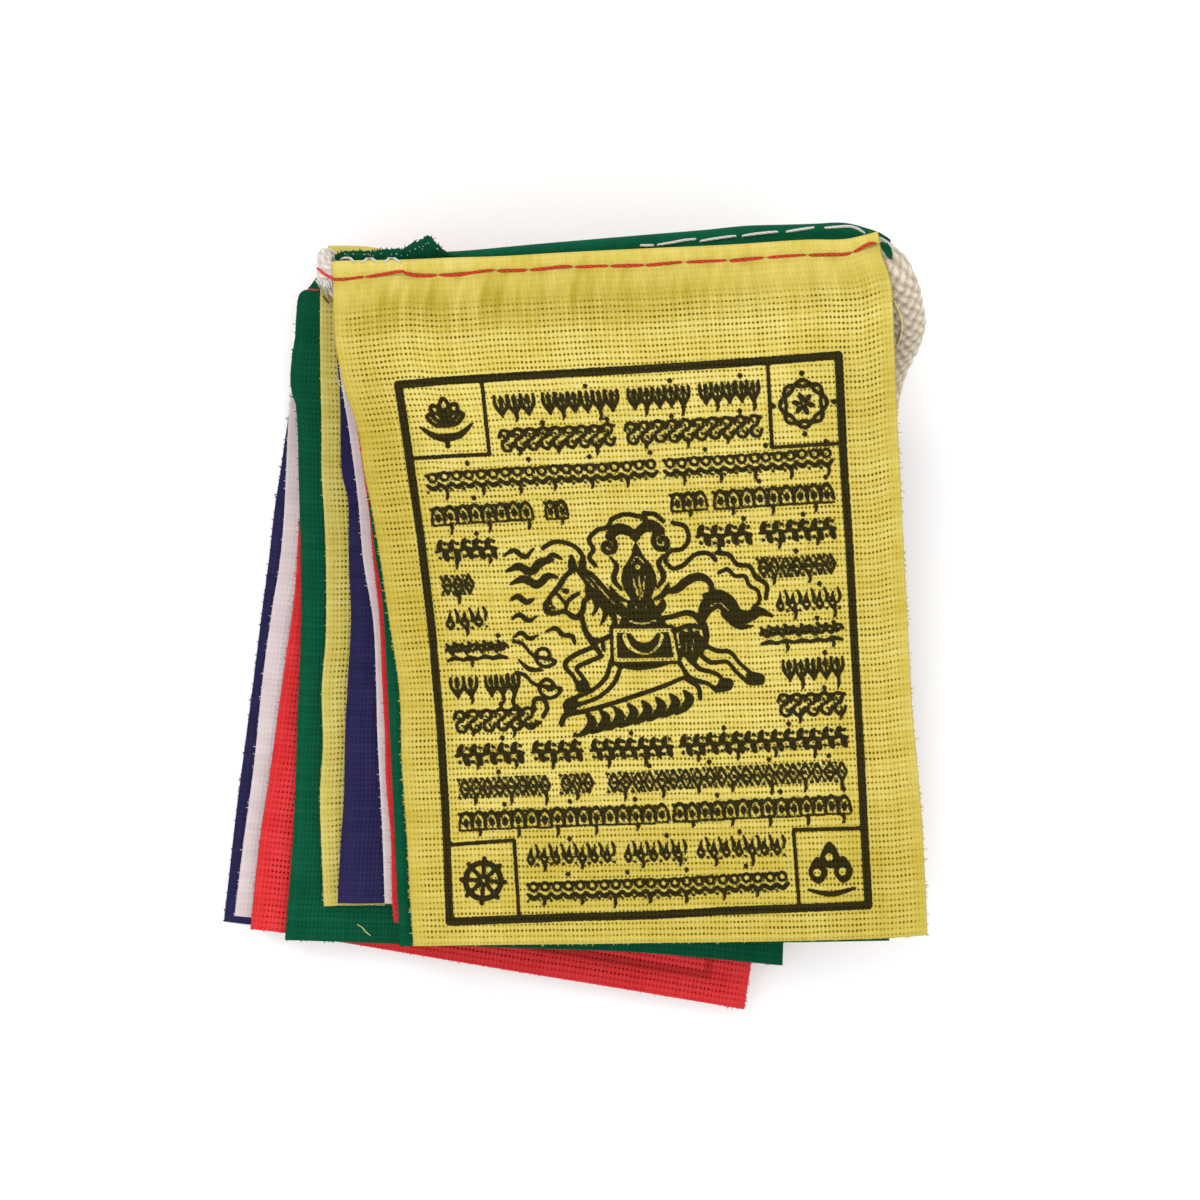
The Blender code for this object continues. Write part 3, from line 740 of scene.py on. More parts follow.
def wheel(cx, cy, r):
    ring = [(cx + r * math.cos(t), cy + r * math.sin(t)) for t in np.linspace(0, 2 * math.pi, 17)[:-1]]
    block.line(ring, 0.7, closed=True)
    block.dot(cx, cy, r * 0.26)
    block.dot(cx, cy, r * 0.10, cut=True)
    for k in range(8):
        a = k * math.pi / 4 + 0.1
        block.line([(cx + r * 0.3 * math.cos(a), cy + r * 0.3 * math.sin(a)), (cx + r * 1.22 * math.cos(a), cy + r * 1.22 * math.sin(a))],
                   [0.5, 0.5], smooth=False)
        block.dot(cx + r * 1.25 * math.cos(a), cy + r * 1.25 * math.sin(a), 0.30)


def jewel(cx, cy, r):
    for o in (-r * 0.55, r * 0.55, 0.0):
        up = 0.0 if o else -r * 0.62
        block.fill([(cx + o, cy + up - r * 0.62), (cx + o + r * 0.42, cy + up + r * 0.05), (cx + o, cy + up + r * 0.52),
                    (cx + o - r * 0.42, cy + up + r * 0.05)])
        block.dot(cx + o - 0.1, cy + up + 0.1, r * 0.17, cut=True)
    block.line([(cx - r, cy + r * 0.75), (cx, cy + r * 0.95), (cx + r, cy + r * 0.75)], [0.35, 0.7, 0.35])


lotus(5.5, 5.6, 3.0)
knot(48.6, 6.0, 2.45)
wheel(4.9, 62.0, 2.2)
jewel(48.6, 62.6, 2.9)

# rows of ornament: above, beside and below the motif; a row may stand in groups
for kind, top, cell, groups in (
        (o_bud, 2.7, 1.50, ((11.6, 16.4), (17.4, 26.4), (27.6, 35.0), (36.2, 43.4))),
        (o_scroll, 6.9, 1.60, ((11.6, 25.6), (26.8, 43.4))),
        (o_loop, 11.3, 1.50, ((2.2, 30.4), (31.2, 51.8))),
        (o_arch, 15.6, 1.65, ((2.2, 14.6), (16.2, 18.8), (31.6, 36.0), (36.9, 51.6))),
        (o_leaf, 19.9, 1.60, ((2.2, 9.6), (34.4, 41.2), (42.2, 51.6))),
        (o_lozenge, 24.2, 1.50, ((2.4, 6.4), (41.6, 51.4))),
        (o_flame, 28.4, 1.50, ((2.2, 7.4), (43.4, 51.6))),
        (o_cloud, 32.5, 2.10, ((2.2, 9.6), (41.6, 51.6))),
        (o_bud, 36.8, 1.50, ((2.2, 5.6), (6.6, 10.8), (44.0, 51.6))),
        (o_scroll, 41.0, 1.60, ((2.2, 12.6), (43.0, 51.6))),
        (o_leaf, 45.2, 1.60, ((2.2, 10.8), (11.8, 18.2), (19.2, 29.6), (30.4, 51.6))),
        (o_lozenge, 49.3, 1.50, ((2.4, 14.0), (15.2, 19.4), (21.2, 51.4))),
        (o_arch, 53.3, 1.65, ((2.2, 28.6), (29.2, 51.6))),
        (o_flame, 57.9, 1.50, ((10.4, 21.6), (22.6, 30.6), (31.8, 43.0))),
        (o_loop, 62.2, 1.50, ((10.4, 43.2),))):
    for a, b in groups:
        row(kind, a, b, top, cell, 2.6)


def motif(cx, cy):
    """A horse at the gallop with a jewel on its saddle, clouds round it and ground below."""

    K = 0.865

    def P(*pts):
        return [(cx + x * K, cy + y * K) for x, y in pts]

    def dt(x, y, r, cut=False, wide=1.0):
        block.dot(cx + x * K, cy + y * K, r, cut, wide)

    def curl(x, y, r, turns, start, w, hand, n, tail=()):
        spiral(cx + x * K, cy + y * K, r * K, turns, start, w, hand, n, P(*tail))

    fl = block.fill

    def ln(points, width, cut=False, smooth=True, closed=False):
        grow = 1.0 if cut else 1.22
        block.line(points, width * grow if np.isscalar(width) else [v * grow for v in width], cut, smooth, closed)

    # body outline
    ln(P((-7.3, -0.6), (-6.9, 1.6), (-5.6, 3.9), (-4.9, 5.2)), [0.5, 0.6, 0.6, 0.45])                  # chest
    ln(P((-3.4, 6.2), (-0.6, 7.0), (2.6, 6.9), (5.6, 6.2), (7.6, 5.2)), [0.42, 0.5, 0.55, 0.5, 0.42])   # belly
    ln(P((-0.9, -0.4), (2.0, 0.5), (5.4, 0.2), (8.2, -0.2), (10.0, 1.2), (10.5, 3.4), (9.8, 5.2)),
       [0.4, 0.5, 0.5, 0.6, 0.7, 0.6, 0.45])                                                            # back and rump
    # head
    ln(P((-12.3, -2.5), (-11.4, -3.6), (-9.9, -5.2), (-8.7, -6.6), (-7.6, -7.2)), [0.5, 0.5, 0.55, 0.5, 0.5])
    ln(P((-12.3, -2.5), (-12.2, -1.5), (-11.2, -1.1), (-9.7, -1.3), (-8.2, -0.4), (-7.1, -1.2), (-6.7, -2.8)),
       [0.55, 0.7, 0.5, 0.5, 0.6, 0.6, 0.5])
    ln(P((-11.9, -1.9), (-11.2, -1.9)), [0.3, 0.4], smooth=False)
    dt(-11.6, -2.6, 0.28)
    dt(-9.2, -4.2, 0.36, wide=1.3)
    ln(P((-9.6, -1.4), (-8.9, -2.9), (-7.4, -3.8)), [0.35, 0.45, 0.4])                                  # bridle
    ln(P((-10.7, -4.1), (-9.4, -2.4)), [0.35, 0.4], smooth=False)
    fl(P((-8.4, -6.7), (-8.5, -8.3), (-7.9, -9.4), (-7.3, -8.0), (-7.5, -6.9)))                         # ears
    fl(P((-7.2, -6.9), (-6.8, -8.6), (-6.2, -9.3), (-5.9, -7.8), (-6.4, -6.7)))
    # mane: a dark crest with loose locks
    fl(P((-7.5, -7.1), (-5.6, -7.0), (-4.2, -5.6), (-3.0, -4.0), (-1.6, -2.4), (-0.4, -0.9), (-0.9, -0.1), (-2.6, -0.9),
         (-4.2, -2.2), (-5.6, -3.6), (-6.6, -5.4)))
    for a, b, c in (((-5.2, -3.2), (-5.0, -1.8), (-5.7, -0.6)), ((-4.2, -2.2), (-3.8, -0.8), (-4.6, 0.8)),
                    ((-3.0, -1.2), (-2.6, 0.4), (-3.4, 2.0)), ((-6.0, -4.4), (-6.1, -3.2), (-6.6, -2.4))):
        ln(P(a, b, c), [0.7, 0.55, 0.25])
    for a, b in (((-5.4, -5.9), (-3.4, -3.2)), ((-4.3, -4.3), (-2.0, -1.6)), ((-6.4, -6.2), (-5.2, -4.6))):
        ln(P(a, b), [0.16, 0.2], cut=True, smooth=False)
    # legs: the near fore leg bent, the far one reaching; both hind legs thrown back
    ln(P((-5.6, 3.8), (-8.0, 4.6), (-10.0, 5.7), (-10.2, 6.6), (-9.2, 7.9), (-8.6, 9.2)), [0.45, 0.5, 0.5, 0.5, 0.42, 0.5])
    ln(P((-4.8, 5.2), (-7.0, 6.0), (-8.6, 6.8), (-7.9, 8.0), (-7.4, 8.9)), [0.45, 0.48, 0.45, 0.42, 0.5])
    fl(P((-8.9, 8.9), (-7.2, 8.6), (-6.9, 9.9), (-8.7, 10.2)))
    ln(P((-3.6, 6.0), (-4.4, 8.2), (-6.6, 10.0), (-9.4, 11.0)), [0.45, 0.48, 0.42, 0.42])
    ln(P((-2.2, 6.8), (-3.2, 8.9), (-5.6, 10.9), (-8.9, 12.0)), [0.45, 0.48, 0.42, 0.42])
    fl(P((-9.2, 10.7), (-8.7, 12.2), (-10.8, 12.8), (-10.9, 11.5)))
    ln(P((10.1, 4.4), (12.0, 5.4), (13.7, 5.6), (15.0, 7.2), (16.7, 8.9)), [0.5, 0.48, 0.42, 0.4, 0.42])
    ln(P((8.8, 5.0), (10.8, 6.9), (13.2, 7.0), (14.4, 8.4), (16.0, 10.0)), [0.5, 0.48, 0.42, 0.4, 0.42])
    fl(P((16.2, 8.7), (18.4, 9.1), (18.3, 10.4), (15.8, 10.2)))
    ln(P((7.6, 5.4), (9.0, 7.6), (11.6, 8.6), (12.6, 9.8)), [0.45, 0.48, 0.42, 0.42])
    ln(P((6.2, 6.2), (7.6, 8.8), (10.4, 10.0), (11.4, 11.0)), [0.45, 0.48, 0.42, 0.42])
    fl(P((12.2, 9.4), (13.9, 9.6), (13.6, 10.9), (11.2, 11.1)))
    # tail
    ln(P((10.0, 0.8), (10.8, -0.9), (12.3, -1.9), (13.8, -1.2), (14.9, 0.4), (16.6, 0.8), (18.4, 0.2), (20.2, 0.9)),
       [0.8, 1.5, 1.9, 1.8, 1.5, 1.2, 0.9, 0.3])
    ln(P((13.4, 0.2), (15.2, 2.0), (17.4, 2.2)), [0.9, 0.7, 0.2])
    ln(P((11.3, -0.9), (12.6, -1.4), (13.9, -0.2)), 0.2, cut=True)
    # saddle cloth
    cloth = P((-3.4, 0.9), (6.0, 1.3), (6.7, 6.9), (-3.6, 6.6))
    fl(cloth, smooth=False)
    fl(P((-2.9, 1.4), (5.6, 1.8), (6.2, 6.4), (-3.1, 6.1)), cut=True, smooth=False)
    fl(P((-2.4, 2.0), (5.1, 2.3), (5.6, 5.9), (-2.6, 5.6)), smooth=False)
    fl(P((-1.5, 2.2), (4.2, 2.4), (3.6, 4.4), (1.5, 5.3), (-0.9, 4.3)), cut=True)
    ln(P((-0.7, 2.5), (0.1, 3.7), (1.5, 4.3), (2.8, 3.8), (3.5, 2.7)), [0.5, 0.8, 1.0, 0.8, 0.5])
    fl(P((-1.2, -0.4), (4.0, -0.3), (4.6, 1.4), (-1.8, 1.2)))                                           # saddle
    ln(P((-0.4, 0.5), (1.4, 0.9), (3.4, 0.5)), 0.26, cut=True)
    ln(P((5.8, 2.2), (8.0, 1.6), (10.2, 2.0)), 0.5)                                                     # crupper
    ln(P((-3.4, 2.4), (-5.0, 3.0), (-6.4, 2.6)), 0.5)                                                   # breast strap
    for x, y in ((-5.6, 3.4), (-4.5, 3.6), (7.0, 2.5), (8.2, 2.3), (9.2, 2.6)):
        ln(P((x, y), (x + 0.1, y + 0.9)), [0.5, 0.3], smooth=False)
    # flank shading
    for x in (7.4, 8.3, 9.2):
        ln(P((x, 3.0), (x - 0.3, 4.6), (x - 0.8, 6.0)), [0.3, 0.6, 0.2])
    # lotus seat and jewel with flames
    for x, k in ((-1.5, -1), (0.0, -0.4), (1.4, 0), (2.8, 0.4), (4.3, 1)):
        ln(P((1.4 + (x - 1.4) * 0.3, -0.2), (x, -1.2), (x + 0.3 * k, -2.3)), [0.4, 0.9, 0.3])
    fl(P((1.4, -10.6), (2.3, -8.7), (3.5, -7.0), (3.9, -5.0), (3.2, -3.2), (2.2, -1.8), (1.4, -0.9), (0.6, -1.8), (-0.4, -3.2),
         (-1.1, -5.0), (-0.7, -7.0), (0.5, -8.7)))
    for x in (-0.9, 0.0, 0.9):
        ln(P((1.4 + x, -6.2 + abs(x) * 0.4), (1.4 + x * 0.7, -4.4), (1.4 + x * 0.25, -2.4)), [0.16, 0.26, 0.14], cut=True)
    ln(P((0.5, -7.6), (1.4, -8.6), (2.3, -7.6)), 0.2, cut=True)
    dt(1.4, -7.1, 0.32, cut=True)
    for k in (-1, 1):
        ln(P((1.4 + k * 2.6, -4.0), (1.4 + k * 3.6, -5.6), (1.4 + k * 3.0, -7.4), (1.4 + k * 3.8, -8.6)), [0.3, 0.6, 0.5, 0.25])
        ln(P((1.4 + k * 2.0, -2.4), (1.4 + k * 3.4, -3.1), (1.4 + k * 4.2, -4.6)), [0.3, 0.6, 0.25])
    # clouds over the jewel
    curl(-2.6, -10.2, 1.35, 1.2, 4.9, 0.62, -1.0, 16)
    curl(5.2, -10.4, 1.50, 1.2, 4.6, 0.64, 1.0, 16)
    ln(P((-2.3, -11.6), (-0.8, -12.6), (0.9, -12.0), (1.5, -11.0), (2.2, -12.2), (3.8, -12.8), (5.2, -12.0)),
       [0.8, 1.1, 0.9, 0.5, 0.9, 1.2, 0.8])
    ln(P((-4.6, -7.6), (-5.4, -8.8), (-4.7, -9.9), (-5.2, -11.3), (-3.8, -12.6), (-2.4, -12.9), (-1.6, -14.0), (0.4, -14.6),
         (2.2, -14.2), (3.2, -13.9)), 0.46)
    ln(P((3.0, -14.6), (4.6, -14.3), (5.6, -13.3)), 0.46)
    ln(P((6.9, -13.0), (8.6, -12.4), (9.0, -10.6), (8.0, -9.3), (6.2, -9.0), (5.4, -7.8), (6.4, -6.6), (8.0, -7.0),
         (9.6, -8.3), (11.6, -8.4), (12.6, -7.4)), 0.46)
    ln(P((12.8, -8.4), (14.6, -8.0), (15.6, -6.6), (17.4, -6.2), (18.2, -4.6), (19.6, -3.6), (19.4, -1.6)), 0.46)
    # ribbon from the jewel
    ln(P((4.8, -3.4), (6.6, -3.6), (8.4, -4.8), (10.2, -5.2), (11.6, -4.2), (11.5, -2.8), (10.4, -2.6)),
       [0.4, 0.8, 0.9, 0.8, 0.6, 0.5, 0.3])
    # a cloud bank before the head, and wind behind it
    ln(P((-11.9, -10.4), (-10.2, -11.2), (-8.0, -10.8), (-6.6, -9.6), (-6.2, -8.2)), 0.46)
    ln(P((-17.6, -9.6), (-16.0, -10.3), (-14.6, -9.3), (-13.2, -10.4)), [0.25, 0.5, 0.5, 0.25])
    ln(P((-17.4, -7.4), (-15.6, -8.0), (-13.9, -7.2), (-12.4, -8.4), (-10.6, -8.6)), [0.3, 0.8, 0.8, 0.9, 0.3])
    ln(P((-17.0, -5.6), (-15.0, -6.2), (-13.2, -5.3), (-11.6, -6.4), (-10.2, -6.2)), [0.3, 0.8, 0.8, 0.7, 0.3])
    for y, w in ((-3.2, 0.6), (-0.6, 0.5), (2.0, 0.45)):
        ln(P((-17.4, y), (-16.2, y - 0.6), (-15.0, y + 0.3), (-13.8, y - 0.2)), [0.25, w, w, 0.25])
    # wind curls under the fore legs
    curl(-13.1, 4.8, 1.75, 1.3, 0.5, 0.46, -1.0, 18, [(-14.8, 4.6), (-16.2, 2.9), (-17.4, 2.6)])
    curl(-12.9, 9.2, 1.85, 1.3, 0.2, 0.48, -1.0, 18, [(-14.8, 8.8), (-16.2, 7.4), (-17.4, 7.0)])
    ln(P((-16.9, 5.2), (-15.4, 6.6), (-13.6, 6.8)), [0.25, 0.5, 0.3])
    ln(P((-15.4, 12.6), (-15.0, 10.9), (-13.8, 11.0), (-13.3, 12.2), (-14.0, 13.4)), 0.46)
    # scalloped clouds behind the tail and before the legs
    ln(P((12.9, -5.6), (14.2, -6.0), (15.2, -5.0), (16.6, -4.9), (17.2, -3.5), (18.3, -2.8), (18.4, -1.2), (17.5, -0.4)), 0.40)
    ln(P((-17.6, 9.6), (-18.2, 11.2), (-17.2, 12.4), (-17.4, 13.8), (-15.9, 14.6), (-14.4, 14.2)), 0.40)
    ln(P((-12.6, 1.4), (-11.2, 1.0), (-10.2, 2.0), (-8.9, 2.2), (-8.6, 3.4)), [0.25, 0.5, 0.5, 0.5, 0.3])
    ln(P((-11.8, -8.6), (-10.6, -9.4), (-9.4, -8.8)), [0.25, 0.5, 0.3])
    fl(P((6.6, 2.6), (8.6, 2.6), (10.0, 3.4), (9.6, 5.0), (8.4, 7.2), (7.2, 6.0)))
    for a, b in (((7.6, 3.2), (7.4, 5.2)), ((8.6, 3.4), (8.2, 5.8))):
        ln(P(a, b), [0.12, 0.2], cut=True, smooth=False)
    # ground: a bank with bent strokes
    ln(P((-11.4, 14.6), (-10.8, 13.4), (-8.0, 12.9), (-4.0, 12.0), (0.0, 10.9), (4.0, 9.8), (6.8, 8.8)), [0.6, 0.6, 0.5, 0.46, 0.46, 0.46, 0.4])
    ln(P((6.9, 8.9), (8.8, 10.3), (9.0, 11.9)), 0.46)
    for k in range(8):
        x, y = -7.6 + 2.05 * k, 12.9 - 0.36 * k
        ln(P((x, y + 0.4), (x + 0.7, y + 1.5), (x - 0.1, y + 2.7), (x - 1.5, y + 3.5)), [0.35, 0.95, 0.8, 0.25])


motif(25.6, 30.6)

# where the print's frame lies on the top flag, in picture pixels: its four outer edges
EDGE_L = np.array([(393.5, 381), (404, 450), (417, 540), (428, 630), (436, 720), (441.5, 810), (445, 900), (446, 926)])
EDGE_R = np.array([(842.5, 350.5), (847.5, 460), (853.5, 550), (858, 640), (863, 730), (867.5, 820), (872.5, 909)])
EDGE_T = np.array([(393.5, 381), (445, 376.5), (525, 371.5), (605, 367), (685, 362), (765, 356.5), (842.5, 350.5)])
EDGE_B = np.array([(446, 926), (495, 924), (575, 921), (655, 919), (735, 914.5), (815, 911.5), (872.5, 909)])


def print_place(px):
    """Print coordinates in mm of picture points, between the four edges."""
    x, y = px[..., 0], px[..., 1]
    a = np.full(x.shape, 0.5)
    b = np.full(x.shape, 0.5)

    def between(edge, t, k):
        level = edge[0, k] + (edge[-1, k] - edge[0, k]) * t
        return np.interp(level, edge[:, k], edge[:, 1 - k])

    for _ in range(12):
        xl, xr = between(EDGE_L, b, 1), between(EDGE_R, b, 1)
        a = (x - xl) / (xr - xl)
        yt, yb = between(EDGE_T, a, 0), between(EDGE_B, a, 0)
        b = (y - yt) / (yb - yt)
    return a * PRINT_W, b * PRINT_H


# ----------------------------------------------------------------- materials

class Graph:
    def __init__(self, name):
        self.mat = bpy.data.materials.new(name)
        self.mat.use_nodes = True
        self.t = self.mat.node_tree
        self.t.nodes.clear()
        self.out = self.t.nodes.new("ShaderNodeOutputMaterial")
        self.bsdf = self.t.nodes.new("ShaderNodeBsdfPrincipled")
        self.t.links.new(self.bsdf.outputs[0], self.out.inputs[0])

    def feed(self, socket, v):
        if hasattr(v, "links") or isinstance(v, bpy.types.NodeSocket):
            self.t.links.new(v, socket)
        elif isinstance(v, (tuple, list)):
            socket.default_value = (*v, 1.0) if len(v) == 3 and len(socket.default_value) == 4 else v
        else:
            socket.default_value = v

    def m(self, op, a, b=0.0, c=0.0, clamp=False):
        n = self.t.nodes.new("ShaderNodeMath")
        n.operation, n.use_clamp = op, clamp
        for k, v in enumerate((a, b, c)):
            self.feed(n.inputs[k], v)
        return n.outputs[0]

    def add(self, a, b): return self.m("ADD", a, b)
    def sub(self, a, b): return self.m("SUBTRACT", a, b)
    def mul(self, a, b): return self.m("MULTIPLY", a, b)

    def step(self, v, lo, hi, a=0.0, b=1.0):
        n = self.t.nodes.new("ShaderNodeMapRange")
        n.interpolation_type = "SMOOTHSTEP"
        for k, x in enumerate((v, lo, hi, a, b)):
            self.feed(n.inputs[k], x)
        return n.outputs[0]

    def vec(self, x, y, z=0.0):
        n = self.t.nodes.new("ShaderNodeCombineXYZ")
        for k, v in enumerate((x, y, z)):
            self.feed(n.inputs[k], v)
        return n.outputs[0]

    def split(self, v):
        n = self.t.nodes.new("ShaderNodeSeparateXYZ")
        self.feed(n.inputs[0], v)
        return n.outputs

    def noise(self, v, scale, detail=2.0, rough=0.5):
        n = self.t.nodes.new("ShaderNodeTexNoise")
        self.feed(n.inputs["Vector"], v)
        n.inputs["Scale"].default_value = scale
        n.inputs["Detail"].default_value = detail
        n.inputs["Roughness"].default_value = rough
        return n.outputs

    def white(self, x, y=0.0):
        n = self.t.nodes.new("ShaderNodeTexWhiteNoise")
        n.noise_dimensions = "2D"
        self.feed(n.inputs["Vector"], self.vec(x, y))
        return n.outputs["Value"]

    def mix(self, f, a, b, mode="MIX"):
        n = self.t.nodes.new("ShaderNodeMix")
        n.data_type, n.blend_type = "RGBA", mode
        self.feed(n.inputs[0], f)
        self.feed(n.inputs[6], a)
        self.feed(n.inputs[7], b)
        return n.outputs[2]

    def attr(self, name):
        n = self.t.nodes.new("ShaderNodeAttribute")
        n.attribute_type, n.attribute_name = "GEOMETRY", name
        return n.outputs

    def bump(self, height, distance, strength=1.0):
        n = self.t.nodes.new("ShaderNodeBump")
        n.inputs["Strength"].default_value = strength
        n.inputs["Distance"].default_value = distance
        self.feed(n.inputs["Height"], height)
        self.t.links.new(n.outputs[0], self.bsdf.inputs["Normal"])


DIM = 0.80            # the light is raised by as much, so that the floor stays white


def lin(r, g, b):
    return tuple(DIM * ((c / 255.0) / 12.92 if c / 255.0 <= 0.04045 else ((c / 255.0 + 0.055) / 1.055) ** 2.4) for c in (r, g, b))


def cotton(name, base, light, gap, hole, ring, shade_tint=(0.62, 0.57, 0.16), open_w=1.0, hole_gain=1.0, ink=None, ink_soft=0.05, ink_gain=1.0, seed=0.0, relief=0.00006):
    """Plain weave of uneven threads: 20.6 warps and 14.2 wefts to the centimetre."""
    g = Graph(name)
    cl = g.split(g.attr("cloth")["Vector"])
    x, y, openness = cl[0], cl[1], cl[2]
    place = g.vec(x, y, seed)
    n1 = g.split(g.noise(place, 0.11, 1.0)["Color"])
    n2 = g.split(g.noise(place, 0.75, 1.0)["Color"])
    X = g.add(x, g.add(g.mul(g.sub(n1[0], 0.5), 0.35), g.mul(g.sub(n2[0], 0.5), 0.16)))
    Y = g.add(y, g.add(g.mul(g.sub(n1[1], 0.5), 0.30), g.mul(g.sub(n2[1], 0.5), 0.18)))
    tx, ty = g.mul(X, 1 / 0.485), g.mul(Y, 1 / 0.705)
    # threads: middle at half numbers, gaps at whole numbers
    sx = g.m("ABSOLUTE", g.m("SINE", g.mul(tx, math.pi)))
    sy = g.m("ABSOLUTE", g.m("SINE", g.mul(ty, math.pi)))
    over = g.mul(g.m("SINE", g.mul(tx, math.pi)), g.m("SINE", g.mul(ty, math.pi)))
    rx, ry = g.m("POWER", sx, 0.55), g.m("POWER", sy, 0.55)
    warp = g.mul(rx, g.add(0.66, g.mul(over, 0.34)))
    weft = g.mul(ry, g.sub(0.66, g.mul(over, 0.34)))
    relief_h = g.m("MAXIMUM", warp, weft)
    # gaps: each line of holes has its own width, which drifts along it
    gx, gy = g.m("ROUND", tx), g.m("ROUND", ty)
    dx = g.m("ABSOLUTE", g.sub(tx, gx))
    dy = g.m("ABSOLUTE", g.sub(ty, gy))
    wx, wy = g.white(gx, seed + 3.3), g.white(seed + 7.7, gy)
    drift_y = g.noise(g.vec(g.mul(X, 0.16), g.mul(gy, 3.7), seed), 1.0, 1.0)["Fac"]
    drift_x = g.noise(g.vec(g.mul(gx, 3.7), g.mul(Y, 0.13), seed + 5.0), 1.0, 1.0)["Fac"]
    cell = g.white(g.add(gx, 0.37), g.add(gy, seed))
    hx = g.mul(g.add(0.19, g.add(g.mul(wx, 0.07), g.mul(drift_x, 0.10))), open_w)
    hy = g.mul(g.add(0.135, g.add(g.mul(wy, 0.05), g.mul(drift_y, 0.08))), open_w)
    ex, ey = g.m("DIVIDE", dx, hx), g.m("DIVIDE", dy, hy)
    e = g.m("SQRT", g.add(g.mul(ex, ex), g.mul(ey, ey)))
    pit = g.step(e, 1.35, 0.45)
    area = g.noise(place, 0.22, 2.0)["Fac"]
    band = g.add(g.mul(g.sub(drift_y, 0.5), 2.6), g.add(g.mul(g.sub(wy, 0.5), 0.5), g.add(g.mul(g.sub(drift_x, 0.5), 1.5), g.mul(g.sub(area, 0.5), 1.2))))
    depth = g.m("ADD", g.add(0.64, g.mul(band, 0.60)), g.mul(g.sub(cell, 0.5), 0.50), clamp=True)
    pit = g.mul(g.mul(pit, g.m("MULTIPLY", g.add(g.mul(depth, 0.86), 0.14), hole_gain, clamp=True)), openness)
    # thread colour: fibres along each thread, and painted light and shade: lighter where it rises, darker in the gaps
    # between threads
    fib_x = g.noise(g.vec(g.mul(X, 9.0), g.mul(Y, 1.3), seed), 1.0, 2.0)["Fac"]
    fib_y = g.noise(g.vec(g.mul(X, 1.3), g.mul(Y, 9.0), seed + 2.0), 1.0, 2.0)["Fac"]
    on_top = g.step(over, -0.12, 0.12)
    fib = g.add(g.mul(fib_x, on_top), g.mul(fib_y, g.sub(1.0, on_top)))
    slub_x = g.white(g.m("FLOOR", tx), seed)
    slub_y = g.white(seed, g.m("FLOOR", ty))
    grid = g.add(0.07, g.mul(openness, 0.79))
    tone = g.add(g.mul(g.mul(g.sub(relief_h, 0.62), grid), 0.95), g.add(g.mul(g.sub(fib, 0.5), 0.55), g.add(g.mul(g.sub(slub_x, 0.5), 0.16), g.mul(g.sub(slub_y, 0.5), 0.20))))
    tone = g.m("ADD", g.add(0.46, tone), g.mul(g.sub(area, 0.5), 0.55), clamp=True)
    col = g.mix(tone, gap, light)
    col = g.mix(0.30, col, base)
    # the holes, with a darker ring round each: painted shade in the gaps, together with the dark of the layers beneath
    # that shows through
    col = g.mix(g.m("MULTIPLY", pit, 1.5, clamp=True), col, ring)
    col = g.mix(g.step(pit, 0.40, 1.15), col, hole)
    # painted shade: where the shade attribute is set, the colour is multiplied towards a darker tint
    shade = g.attr("shade")["Fac"]
    col = g.mix(shade, col, g.mix(1.0, col, shade_tint, "MULTIPLY"))
    if ink is not None:
        d = g.attr("ink")["Fac"]
        ragged = g.noise(place, 3.4, 2.0)["Fac"]
        worn = g.noise(place, 0.5, 3.0)["Fac"]
        d = g.add(d, g.add(g.mul(g.sub(ragged, 0.5), 0.22), g.add(g.mul(g.sub(0.72, relief_h), 0.10), -0.03)))
        mask = g.step(d, ink_soft, -ink_soft)
        thin = g.m("SUBTRACT", 1.0, g.mul(g.step(fib, 0.62, 0.86), g.step(worn, 0.45, 0.75, 0.10, 0.45)), clamp=True)
        # the ink is lighter on the raised threads and fibres, partly a painted highlight, and nearly black in the
        # holes, painted shade and the layers beneath
        inked = g.mix(g.add(g.mul(relief_h, 0.5), g.mul(fib, 0.5)), ink[0], ink[1])
        inked = g.mix(g.mul(pit, 0.7), inked, (0.004, 0.003, 0.001))
        col = g.mix(g.mul(g.mul(mask, thin), ink_gain), col, inked)
    g.feed(g.bsdf.inputs["Base Color"], col)
    g.bsdf.inputs["Roughness"].default_value = 0.88
    g.bsdf.inputs["Specular IOR Level"].default_value = 0.05
    g.bsdf.inputs["Sheen Weight"].default_value = 0.02
    g.bsdf.inputs["Sheen Roughness"].default_value = 0.5
    height = g.sub(g.add(g.mul(relief_h, g.add(0.18, g.mul(openness, 0.72))), g.mul(g.sub(fib, 0.5), 0.45)), g.mul(pit, 1.2))
    g.bump(height, relief)
    return g.mat


def thread(name, dark, light, scale=1.0, relief=0.00004):
    g = Graph(name)
    a = g.attr("strand")["Vector"]
    s = g.split(a)
    # two plies laid round each other, with loose fibres; darker in the groove between the plies, a painted shade
    twist = g.m("SINE", g.add(g.mul(s[0], 2 * math.pi / (0.75 * scale)), g.mul(s[1], 2.0)))
    n = g.noise(a, 6.0 / scale, 3.0)["Fac"]
    t = g.m("ADD", g.mul(twist, 0.30), n, clamp=True)
    g.feed(g.bsdf.inputs["Base Color"], g.mix(t, dark, light))
    g.bsdf.inputs["Roughness"].default_value = 0.7
    g.bsdf.inputs["Specular IOR Level"].default_value = 0.3
    g.bump(g.add(g.mul(twist, 0.5), n), relief)
    return g.mat


